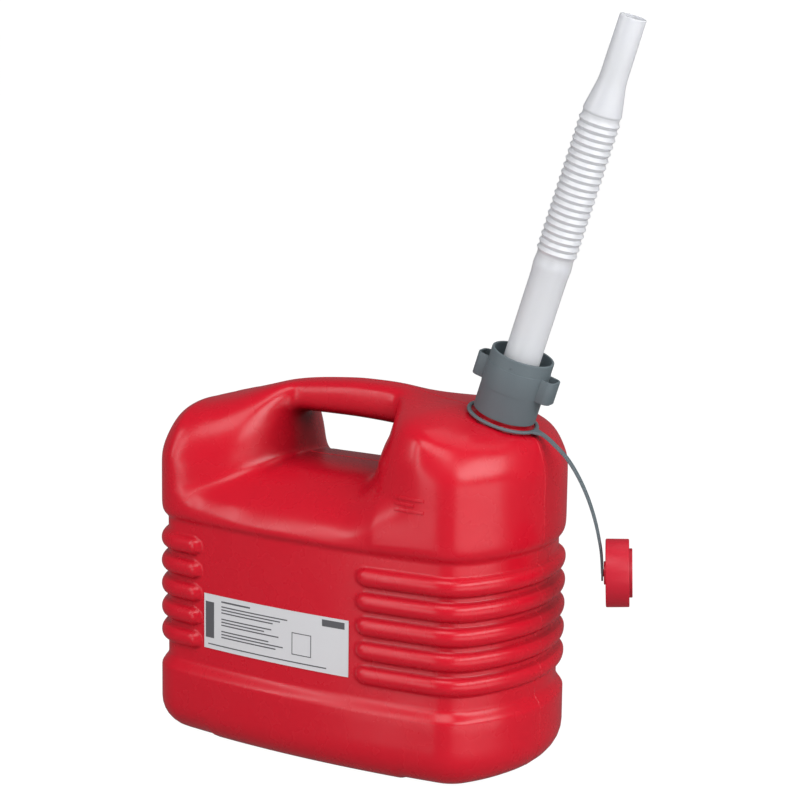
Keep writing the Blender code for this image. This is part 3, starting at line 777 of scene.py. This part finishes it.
def beadTree():
    tree, value = nodeTree("partingBead", ("Bead", "Spacing"))
    curve = shaderNode(tree, "GeometryNodeMeshToCurve", {"Mesh": value["Geometry"]}).outputs[0]
    given = {"Curve": curve, "Length": value["Spacing"]}
    even = shaderNode(tree, "GeometryNodeResampleCurve", given, mode="LENGTH").outputs[0]
    return closeTree(tree, beadNode(tree, even, value["Bead"]), redPlastic)


def buildThread():
    height = neck["threadPitch"] * neck["threadTurns"]
    values = {
        "Turns": neck["threadTurns"],
        "Radius": neck["radius"] + neck["threadRoom"],
        "Height": height,
        "Bead": neck["threadSize"],
        "Steps": neck["threadSteps"],
    }
    thread = grown("neckThread", threadTree(), values)
    foot = neck["head"] - height - neck["threadHead"]
    thread.data.transform(neckFrame @ Matrix.Translation((0, 0, foot)))
    return cleaned(thread, sharp=40)


parting = {
    "foot": 0.004,
    "ledge": (-0.05, 0.034),
    "neckRoom": 0.0225,
    "neckFoot": -0.02,
    "sink": 0.0002,
    "longestSpan": 0.02,
    "bead": 0.0004,
    "spacing": 0.0015,
}


def buildBead(tree, grid, row):
    # Parting line along the top of the handle, down both ends and along the ledge.
    low, high = parting["ledge"]
    ledge = [column[row] for column in grid if abs(column[row].y) < 1e-6]
    lines = [
        [column[-1] for column in grid],
        [point for point in grid[0] if point.z > parting["foot"]],
        [point for point in grid[-1] if point.z > can["shoulder"]],
        [point for point in ledge if low < point.x < high],
    ]
    values = {"Bead": parting["bead"], "Spacing": parting["spacing"]}
    beads = []
    for number, line in enumerate(lines):
        kept = []
        for point in line:
            local, reach = aroundNeck(point)
            if reach < parting["neckRoom"] and local.z > parting["neckFoot"]:
                continue
            place, normal = tree.find_nearest(point)[:2]
            kept.append(place - normal * parting["sink"])
        gaps = [(after - before).length for before, after in zip(kept, kept[1:])]
        spans = [(at, at + 1) for at, gap in enumerate(gaps) if gap < parting["longestSpan"]]
        mesh = bpy.data.meshes.new(f"partingLine{number}")
        mesh.from_pydata([tuple(point) for point in kept], spans, [])
        beads.append(grown(f"partingBead{number}", beadTree(), values, mesh))
    return cleaned(joinedMeshes(beads[0], beads[1:]), sharp=60)


levelMark = {
    "left": 0.0815,
    "foot": 0.2012,
    "lengths": (0.0245, 0.0165, 0.0245),
    "pitch": 0.0042,
    "half": 0.0011,
    "rise": 0.0006,
    "root": 0.0004,
    "parts": 12,
}


def buildMark(tree):
    # Plain raised level bars on the cheek beside the hand opening.
    half, rise, root = levelMark["half"], levelMark["rise"], levelMark["root"]
    section = rounded([(-root, -half), (rise, -half), (rise, half), (-root, half)], 0.0003)
    bars = []
    for bar, length in enumerate(levelMark["lengths"]):
        height = levelMark["foot"] + levelMark["pitch"] * bar
        frames = []
        for step in range(levelMark["parts"] + 1):
            x = levelMark["left"] + length * step / levelMark["parts"]
            place, normal = tree.ray_cast(Vector((x, -1, height)), Vector((0, 1, 0)))[:2]
            upward = Vector((0, 0, 1)) - normal * normal.z
            frames.append((place, normal, upward.normalized()))
        bars.append(swept(f"levelMark{bar}", frames, section, redPlastic))
    return cleaned(joinedMeshes(bars[0], bars[1:]), distance=0.000001, sharp=40)


skin, skinGrid, gripRows = buildCan()
print("can skin", len(skin.data.polygons))
skinTree = BVHTree.FromObject(skin, bpy.context.evaluated_depsgraph_get())
bead = buildBead(skinTree, skinGrid, gripRows[0])
mark = buildMark(skinTree)
canNeck = buildNeck()
thread = buildThread()
for piece in (skin, bead, mark, canNeck, thread):
    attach(piece, "can")
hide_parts("can_body")
print("can")


# Label: plain film with generic lines and blocks

label = {
    "left": -0.0879,
    "length": 0.133,
    "foot": 0.0733,
    "height": 0.0417,
    "inset": 0.0050,
    "thickness": 0.0003,
    "ink": 0.00006,
    "lineHeight": 0.022,
    "lineStep": 0.05,
    "frameBox": (0.63, 0.22, 0.76, 0.62),
    "frameHigh": 0.016,
    "frameWide": 0.005,
}
# Boxes are left, foot, right and head as shares of the label, then the parts along it.
labelHead = ("labelHead", (0.13, 0.885, 0.34, 0.915), 4)
labelBlock = ("labelBlock", (0.012, 0.20, 0.075, 0.86), 2)
labelPill = ("labelPill", (0.83, 0.83, 0.975, 0.95), 3)
# Left and right end and the feet of each group of lines.
lineGroups = [
    (0.13, 0.60, [0.80, 0.745, 0.69]),
    (0.13, 0.54, [0.575, 0.52, 0.465]),
    (0.13, 0.57, [0.35, 0.295, 0.24]),
    (0.03, 0.86, [0.075]),
]


def labelFrames(left, length, parts):
    frames = []
    for part in range(parts + 1):
        x = left + length * part / parts
        turn = math.acos(x / (can["sideRadius"] + can["cornerRadius"]))
        outward = Vector((math.cos(turn), -math.sin(turn), 0))
        planX, planY = planPoint(turn)
        frames.append((Vector((planX, -planY, 0)), outward, Vector((0, 0, 1))))
    return frames


def labelPatch(name, box, inner, outer, material, parts):
    left, foot, right, head = box
    low = label["foot"] + foot * label["height"]
    high = label["foot"] + head * label["height"]
    start = label["left"] + left * label["length"]
    section = [(-inner, low), (-inner, high), (-outer, high), (-outer, low)]
    frames = labelFrames(start, (right - left) * label["length"], parts)
    return cleaned(swept(name, frames, section, material), sharp=40)


def labelMarks():
    marks = [labelHead]
    for group, (left, right, heights) in enumerate(lineGroups):
        for line, foot in enumerate(heights):
            end = right - label["lineStep"] * ((group + line) % 3)
            box = (left, foot, end, foot + label["lineHeight"])
            marks.append((f"labelLine{group}{line}", box, 6))
    left, foot, right, head = label["frameBox"]
    high, wide = label["frameHigh"], label["frameWide"]
    return marks + [
        labelBlock,
        ("labelFrameFoot", (left, foot, right, foot + high), 2),
        ("labelFrameHead", (left, head - high, right, head), 2),
        ("labelFrameLeft", (left, foot, left + wide, head), 2),
        ("labelFrameRight", (right - wide, foot, right, head), 2),
        labelPill,
    ]


def buildLabel():
    face = label["inset"] - label["thickness"]
    film = labelPatch("labelFilm", (0, 0, 1, 1), label["inset"], face, labelFilm, 24)
    ink = face - label["ink"]
    marks = [labelPatch(name, box, face, ink, labelInk, parts) for name, box, parts in labelMarks()]
    return film, joinedMeshes(marks[0], marks[1:])


labelSheet, labelPrint = buildLabel()
for piece in (labelSheet, labelPrint):
    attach(piece, "can")
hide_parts("label")
print("label")


# Union nut with its two finger loops

nut = {
    "outer": 0.0229,
    "wall": 0.002,
    "height": 0.0463,
    "webFoot": 0.0294,
    "webHead": 0.0324,
    "webHole": 0.0142,
    "beltLow": 0.020,
    "beltHigh": 0.037,
    "relief": 0.0003,
    "restTurn": math.radians(5),
    "loopReach": 0.0315,
    "loopWidth": 0.0165,
    "loopWall": 0.0016,
    "loopCorner": 0.0045,
    "gateTurn": math.radians(-78),
    "gateHeight": 0.0402,
    "gateRadius": 0.0011,
    "gateRise": 0.0004,
    "gateSink": 0.0002,
}


def loopPath():
    half = nut["loopWidth"] / 2 - nut["loopWall"] / 2
    reach = nut["loopReach"] - nut["loopWall"] / 2
    corner = nut["loopCorner"]
    start = nut["outer"] - nut["wall"] * 0.6
    path = [(start, -half)]
    for side in (-1, 1):
        for step in range(9):
            lean = math.pi / 2 * (step / 8 if side < 0 else 1 - step / 8)
            x = reach - corner + corner * math.sin(lean)
            path.append((x, side * (half - corner + corner * math.cos(lean))))
    path.append((start, half))
    return path


def buildLoop(name, turn):
    path = [Vector((x, y, 0)) for x, y in loopPath()]
    place = neckFrame @ Matrix.Rotation(nut["restTurn"] + turn, 4, "Z")
    spin = place.to_3x3()
    frames = []
    for at, point in enumerate(path):
        along = path[min(at + 1, len(path) - 1)] - path[max(at - 1, 0)]
        outward = Vector((along.y, -along.x, 0)).normalized()
        frames.append((place @ point, spin @ outward, spin @ Vector((0, 0, 1))))
    half = nut["loopWall"] / 2
    low, high = nut["beltLow"], nut["beltHigh"]
    corners = [(-half, low), (half, low), (half, high), (-half, high)]
    section = rounded(corners, 0.0005, 2)
    return cleaned(swept(name, frames, section, greyPlastic), sharp=40)


def buildNut():
    outer, inner, belt = nut["outer"], nut["outer"] - nut["wall"], nut["outer"] + nut["relief"]
    corners = [
        (inner, nut["height"], 0.0007),
        (outer, nut["height"], 0.0007),
        (outer, nut["beltHigh"]),
        (belt, nut["beltHigh"]),
        (belt, nut["beltLow"]),
        (outer, nut["beltLow"]),
        (outer, 0, 0.0006),
        (inner, 0, 0.0004),
        (inner, nut["webFoot"], 0.0004),
        (nut["webHole"], nut["webFoot"], 0.0004),
        (nut["webHole"], nut["webHead"], 0.0004),
        (inner, nut["webHead"], 0.0004),
    ]
    place = neckFrame @ Matrix.Rotation(nut["restTurn"], 4, "Z")
    body = lathed("unionNut", rounded(corners, 0.00012), place, greyPlastic, steps=120)
    merged(body, [buildLoop("loopNear", 0), buildLoop("loopFar", math.pi)])
    turn, height = nut["gateTurn"], nut["gateHeight"]
    outward = Vector((math.cos(turn), math.sin(turn), 0))
    centre = neckFrame @ (outward * (outer - nut["gateSink"]) + Vector((0, 0, height)))
    facing = (neckFrame.to_3x3() @ outward).to_track_quat("Z", "Y").to_matrix().to_4x4()
    radius, rise = nut["gateRadius"], nut["gateRise"]
    dot = rounded([(0, 0), (radius, 0), (radius, rise), (0, rise)], 0.00015)
    gate = lathed("gateDot", dot, Matrix.Translation(centre) @ facing, greyPlastic, steps=24)
    joinedMeshes(body, [gate])
    return cleaned(body, distance=0.000002, sharp=35)


unionNut = buildNut()
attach(unionNut, "nut")
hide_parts("union_nut")
print("nut")


# Spout: tube, four bellows parts and nozzle, one milky moulding

spout = {
    "flangeFoot": 0.0266,
    "flangeHead": 0.0291,
    "flangeRadius": 0.0202,
    "wall": 0.0013,
    "tubeRadius": 0.0132,
    "flare": 0.112,
    "bellowsStart": 0.120,
    "bellowsEnd": 0.226,
    "cuff": 0.0025,
    "ribs": 20,
    "parts": 4,
    "root": 0.0132,
    "crest": 0.0147,
    "taperEnd": 0.250,
    "nozzle": 0.0097,
    "tip": 0.0094,
    "length": 0.2954,
    "flareLow": 0.006,
    "flareHigh": 0.002,
    "flareStep": 0.0006,
    "cuffStep": 0.0007,
    "cuffRise": 0.0015,
    "weld": 0.00001,
    "around": 64,
}
spout["firstRoot"] = spout["bellowsStart"] + spout["cuff"]
spout["pitch"] = (spout["bellowsEnd"] - spout["cuff"] - spout["firstRoot"]) / spout["ribs"]


def bellowsTree():
    floats = ("Foot", "Head", "First Root", "Pitch", "Root Radius", "Crest Radius", "Wall")
    tree, value = nodeTree("bellowsWall", floats, ("Ribs", "Around", "Along"))

    def calc(operation, *values):
        return mathNode(tree, operation, *values)

    around = calc("ADD", value["Around"], 1.0)
    rows = calc("MULTIPLY_ADD", value["Along"], 2.0, 3.0)
    given = {"Size X": 1.0, "Size Y": 1.0, "Vertices X": around, "Vertices Y": rows}
    grid = shaderNode(tree, "GeometryNodeMeshGrid", given).outputs["Mesh"]
    place = shaderNode(tree, "GeometryNodeInputPosition").outputs[0]
    split = shaderNode(tree, "ShaderNodeSeparateXYZ", {"Vector": place}).outputs
    turn = calc("MULTIPLY", calc("ADD", split["X"], 0.5), 2 * math.pi)
    # The rows run up the outside, down the inside and back to the first row.
    spans = calc("MULTIPLY_ADD", value["Along"], 2.0, 2.0)
    row = calc("ROUND", calc("MULTIPLY", calc("ADD", split["Y"], 0.5), spans))
    last = calc("MULTIPLY_ADD", value["Along"], 2.0, 1.0)
    up = calc("MINIMUM", row, calc("MAXIMUM", calc("SUBTRACT", last, row), 0.0))
    turned = calc("GREATER_THAN", row, calc("ADD", value["Along"], 0.5))
    unclosed = calc("LESS_THAN", row, calc("ADD", last, 0.5))
    inside = calc("MULTIPLY", turned, unclosed)
    rise = calc("DIVIDE", up, value["Along"])
    span = calc("SUBTRACT", value["Head"], value["Foot"])
    height = calc("MULTIPLY_ADD", rise, span, value["Foot"])
    ribs = calc("DIVIDE", calc("SUBTRACT", height, value["First Root"]), value["Pitch"])
    ribs = calc("MINIMUM", calc("MAXIMUM", ribs, 0.0), value["Ribs"])
    wave = calc("MULTIPLY", calc("PINGPONG", ribs, 0.5), 2.0)
    swell = calc("SUBTRACT", value["Crest Radius"], value["Root Radius"])
    radius = calc("MULTIPLY_ADD", wave, swell, value["Root Radius"])
    radius = calc("SUBTRACT", radius, calc("MULTIPLY", inside, value["Wall"]))
    x = calc("MULTIPLY", radius, calc("COSINE", turn))
    y = calc("MULTIPLY", radius, calc("SINE", turn))
    moved = shaderNode(tree, "ShaderNodeCombineXYZ", {"X": x, "Y": y, "Z": height}).outputs[0]
    given = {"Geometry": grid, "Position": moved}
    shaped = shaderNode(tree, "GeometryNodeSetPosition", given).outputs[0]
    given = {"Geometry": shaped, "Distance": spout["weld"]}
    welded = shaderNode(tree, "GeometryNodeMergeByDistance", given).outputs[0]
    return closeTree(tree, welded, milkPlastic)


def buildBellows(tree, part):
    # The first and the last part carry half a rib's pitch of cuff besides their ribs.
    last = spout["parts"] - 1
    ribs = spout["ribs"] // spout["parts"]
    quarter = spout["pitch"] / 4
    low = spout["firstRoot"] + spout["pitch"] * ribs * part
    foot = low - 2 * quarter * (part == 0)
    head = low + spout["pitch"] * ribs + 2 * quarter * (part == last)
    values = {
        "Foot": foot,
        "Head": head,
        "First Root": spout["firstRoot"],
        "Pitch": spout["pitch"],
        "Ribs": spout["ribs"],
        "Root Radius": spout["root"],
        "Crest Radius": spout["crest"],
        "Wall": spout["wall"],
        "Around": spout["around"],
        "Along": ribs * 4 + 2 * (part in (0, last)),
    }
    made = grown(f"bellows{part + 1}", tree, values)
    made.data.transform(neckFrame)
    return cleaned(made, sharp=32), foot, head


def buildTube(head):
    tube, root, flare = spout["tubeRadius"], spout["root"], spout["flare"]
    bore = tube - spout["wall"]
    corners = [
        (bore, spout["flangeFoot"]),
        (spout["flangeRadius"], spout["flangeFoot"]),
        (spout["flangeRadius"], spout["flangeHead"]),
        (tube, spout["flangeHead"], 0.0008),
        (tube, flare - spout["flareLow"], 0.002),
        (root + spout["flareStep"], flare + spout["flareHigh"], 0.002),
        (root, head, 0),
        (root - spout["wall"], head, 0),
        (bore, flare, 0.002),
    ]
    return lathed("spoutTube", rounded(corners, 0.0003), neckFrame, milkPlastic, steps=80)


def buildNozzle(foot):
    wall, root, nozzle, tip = (spout[name] for name in ("wall", "root", "nozzle", "tip"))
    corners = [
        (tip - wall, spout["length"], 0.0004),
        (nozzle - wall, spout["taperEnd"], 0.004),
        (root - wall, foot, 0),
        (root, foot, 0),
        (root + spout["cuffStep"], foot + spout["cuffRise"], 0.001),
        (nozzle, spout["taperEnd"], 0.004),
        (tip, spout["length"], 0.0004),
    ]
    return lathed("spoutNozzle", rounded(corners, 0.0003), neckFrame, milkPlastic, steps=80)


def buildSpout():
    tree = bellowsTree()
    heights = []
    for part in range(spout["parts"]):
        made, foot, head = buildBellows(tree, part)
        heights += [foot, head]
        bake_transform(made)
        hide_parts(f"spout_bellows_{part + 1}")
    tube = buildTube(heights[0])
    nozzle = buildNozzle(heights[-1])
    for made, body, node in ((tube, "spout", "spout_tube"), (nozzle, "nozzle", "spout_nozzle")):
        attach(made, body)
        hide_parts(node)


buildSpout()
print("spout")


# Tether: hoop on the neck, strap with a flared root, and its button

tether = {
    "inner": 0.0238,
    "outer": 0.0268,
    "thickness": 0.0021,
    "foot": -0.0044,
    "webStart": 0.0262,
    "strapWidth": 0.005,
    "strapThickness": 0.0018,
    "rootWidth": 0.0125,
    "button": 0.0058,
    "buttonThickness": 0.0013,
    "stem": 0.0026,
    "stemReach": 0.0045,
    "rootSteps": 5,
    "rootNarrow": 1.15,
    "rootPower": 0.7,
    "runSteps": 46,
}
# Strap run from its root to the button, as shares of its reach and of its drop.
strapRun = [
    (0, 0), (0.075, 0.022), (0.196, 0.070), (0.390, 0.158), (0.594, 0.300),
    (0.780, 0.488), (0.905, 0.678), (0.980, 0.860), (0.997, 0.960), (1, 1),
]


def buildRing():
    inner, outer, foot = tether["inner"], tether["outer"], tether["foot"]
    head = foot + tether["thickness"]
    corners = [(inner, foot), (outer, foot), (outer, head), (inner, head)]
    ring = lathed("tetherRing", rounded(corners, 0.0009, 4), neckFrame, greyPlastic, steps=120)
    return ring, foot + tether["thickness"] / 2


def strapFrames(middle):
    span = capPlace - strapRoot
    heading = Vector((span.x, span.y, 0))
    reach = heading.length
    heading.normalize()
    turn = math.atan2(heading.y, heading.x)
    capTurn = math.atan2(capAxis.y, capAxis.x)
    local = neckInverse @ strapRoot
    outward = Vector((local.x, local.y, 0)).normalized()
    start = neckFrame @ (outward * tether["webStart"] + Vector((0, 0, middle)))
    wanted = np.linspace(0, len(strapRun) - 1, tether["runSteps"])
    run = smoothCurve(np.arange(len(strapRun)), np.array(strapRun), wanted)
    steps, wide, narrow = tether["rootSteps"], tether["rootWidth"], tether["strapWidth"]
    points, widths = [], []
    for step in range(steps):
        share = softStep(step / steps) ** tether["rootPower"]
        points.append(start.lerp(strapRoot, step / steps))
        widths.append(between(wide, narrow * tether["rootNarrow"], share))
    for out, down in run:
        points.append(strapRoot + heading * reach * out + Vector((0, 0, span.z * down)))
        widths.append(narrow)
    frames = []
    last = len(points) - 1
    for at, point in enumerate(points):
        along = (points[min(at + 1, last)] - points[max(at - 1, 0)]).normalized()
        lean = between(turn, capTurn, max(0, at - steps) / (last - steps))
        across = Vector((-math.sin(lean), math.cos(lean), 0))
        across = (across - along * across.dot(along)).normalized()
        thickness = along.cross(across) * tether["strapThickness"]
        frames.append((point, across * widths[at], thickness))
    return frames, start


def buildStrap(middle):
    frames, start = strapFrames(middle)
    corners = [(-0.5, -0.5), (0.5, -0.5), (0.5, 0.5), (-0.5, 0.5)]
    section = rounded(corners, 0.12, 2)
    strap = cleaned(swept("tetherStrap", frames, section, greyPlastic), sharp=45)
    half = tether["buttonThickness"] / 2
    head = tether["strapThickness"] / 2 + tether["stemReach"]
    button, stem = tether["button"], tether["stem"]
    corners = [(0, -half), (button, -half), (button, half), (stem, half), (stem, head), (0, head)]
    made = lathed("strapButton", rounded(corners, 0.0003), capFrame, greyPlastic, steps=48)
    merged(strap, [made])
    return cleaned(strap, distance=0.000002, sharp=40), start


tetherRing, ringMiddle = buildRing()
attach(tetherRing, "ring")
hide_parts("tether_ring")
tetherStrap, strapStart = buildStrap(ringMiddle)
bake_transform(tetherStrap)
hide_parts("tether_strap")
print("tether")


# Screw cap

cap = {
    "radius": 0.0243,
    "depth": 0.0167,
    "wall": 0.0034,
    "top": 0.0026,
    "boss": 0.0083,
    "bossHeight": 0.0013,
    "plug": 0.0174,
    "plugWall": 0.0018,
    "plugReach": 0.0022,
    "hole": 0.0031,
    "strapGap": 0.0003,
    "draft": 0.0002,
}


def buildCap():
    boss = tether["strapThickness"] / 2 + cap["strapGap"]
    face = boss + cap["bossHeight"]
    under = face + cap["top"]
    rim = face + cap["depth"]
    radius, plug, hole, foot = cap["radius"], cap["plug"], cap["hole"], rim + cap["plugReach"]
    inner, bore = radius - cap["wall"], plug - cap["plugWall"]
    corners = [
        (hole, under),
        (bore, under),
        (bore, foot, 0.0003),
        (plug, foot, 0.0006),
        (plug, under),
        (inner, under),
        (inner, rim, 0.0004),
        (radius - cap["draft"], rim, 0.0009),
        (radius, face, 0.0011),
        (cap["boss"], face, 0.0003),
        (cap["boss"], boss, 0.0005),
        (hole, boss, 0.0002),
    ]
    return lathed("screwCap", rounded(corners, 0.0002, 4), capFrame, capPlastic, steps=120)


screwCap = buildCap()
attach(screwCap, "cap")
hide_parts("screw_cap")
for node, material in (("spout_gasket", rubber), ("cap_seal", sealPlastic)):
    kept = frame["nodes"][node]
    kept.data.materials.clear()
    kept.data.materials.append(material)
print("cap")


# Studio: pale floor, soft lights and the photograph's camera

studio = {
    "cameraPlace": (0.9399, -1.4010, 0.5487),
    "azimuth": 32.92,
    "elevation": 9.74,
    "roll": 0.75,
    "lens": 103.85,
    "sensor": 36,
    "floorReach": 30,
    "floorDrop": 0.0004,
    "aim": (0.02, 0, 0.18),
    "daylight": 0.16,
    "paperGlow": 0.9,
    "paperLight": 1.1,
    "paperShade": 0.55,
    "paperTone": 0.95,
    "sky": (0.95, 0.97, 1, 1),
    "nearest": 0.01,
}
# Each light: azimuth, elevation, distance, width, height and power.
lights = {
    "frontLight": (-14, 30, 2.2, 2.6, 0.8, 37),
    "cornerLight": (-20, -8, 2.3, 3.2, 1.1, 24),
    "cheekLight": (-105, -8, 2.3, 0.8, 1.1, 9),
    "fillLight": (-80, 52, 2.2, 1.3, 1.0, 15),
    "leftLight": (-112, 22, 2.2, 0.16, 1.3, 6),
    "leftStrip": (-130, 26, 2.2, 0.10, 1.3, 6),
    "topLight": (60, 68, 1.9, 1.5, 1.2, 5),
}


def buildCamera():
    data = bpy.data.cameras.new("photoCamera")
    data.lens = studio["lens"]
    data.sensor_width = studio["sensor"]
    data.clip_start = studio["nearest"]
    camera = placed("photoCamera", data)
    turned = Matrix.Identity(4)
    tilt = 90 - studio["elevation"]
    for degrees, axis in ((studio["azimuth"], "Z"), (tilt, "X"), (studio["roll"], "Z")):
        turned = turned @ Matrix.Rotation(math.radians(degrees), 4, axis)
    camera.matrix_world = Matrix.Translation(studio["cameraPlace"]) @ turned
    bpy.context.scene.camera = camera


def areaLight(name, azimuth, elevation, distance, width, height, power):
    data = bpy.data.lights.new(name, "AREA")
    data.shape = "RECTANGLE"
    data.size, data.size_y = width, height
    data.energy = power
    light = placed(name, data)
    around, above = math.radians(azimuth), math.radians(elevation)
    level = math.cos(above)
    outward = Vector((math.cos(around) * level, math.sin(around) * level, math.sin(above)))
    place = Vector(studio["aim"]) + outward * distance
    light.matrix_world = Matrix.Translation(place) @ outward.to_track_quat("Z", "Y").to_matrix().to_4x4()


def cameraMix(tree, unseen, seen, output):
    # The camera's own rays meet one shader and all other rays the other.
    path = shaderNode(tree, "ShaderNodeLightPath").outputs["Is Camera Ray"]
    mix = shaderNode(tree, "ShaderNodeMixShader", {0: path, 1: unseen, 2: seen}).outputs[0]
    shaderNode(tree, output, {"Surface": mix})


def paint(tree, kind, colour, **strength):
    return shaderNode(tree, kind, {"Color": colour, **strength}).outputs[0]


def paperMaterial():
    paper = bpy.data.materials.new("paleFloor")
    paper.use_nodes = True
    tree = paper.node_tree
    tree.nodes.clear()
    shade, lit = (
        paint(tree, "ShaderNodeBsdfDiffuse", (tone, tone, tone, 1))
        for tone in (studio["paperShade"], studio["paperTone"])
    )
    glow = paint(tree, "ShaderNodeEmission", (1, 1, 1, 1), Strength=studio["paperLight"])
    given = {0: studio["paperGlow"], 1: lit, 2: glow}
    seen = shaderNode(tree, "ShaderNodeMixShader", given).outputs[0]
    cameraMix(tree, shade, seen, "ShaderNodeOutputMaterial")
    return paper


def buildStudio():
    reach, drop = studio["floorReach"], studio["floorDrop"]
    corners = [(x * reach, y * reach, -drop) for x, y in ((-1, -1), (1, -1), (1, 1), (-1, 1))]
    floor = meshObject("floor", corners, [(0, 1, 2, 3)], paperMaterial())
    floor.visible_glossy = False
    world = bpy.data.worlds.new("studio")
    world.use_nodes = True
    bpy.context.scene.world = world
    tree = world.node_tree
    tree.nodes.clear()
    sky, white = (
        paint(tree, "ShaderNodeBackground", colour, Strength=strength)
        for colour, strength in (
            (studio["sky"], studio["daylight"]),
            ((1, 1, 1, 1), studio["paperLight"]),
        )
    )
    cameraMix(tree, sky, white, "ShaderNodeOutputWorld")
    for name, values in lights.items():
        areaLight(name, *values)
    bpy.context.scene.view_settings.view_transform = "Standard"


buildCamera()
buildStudio()
print("studio")
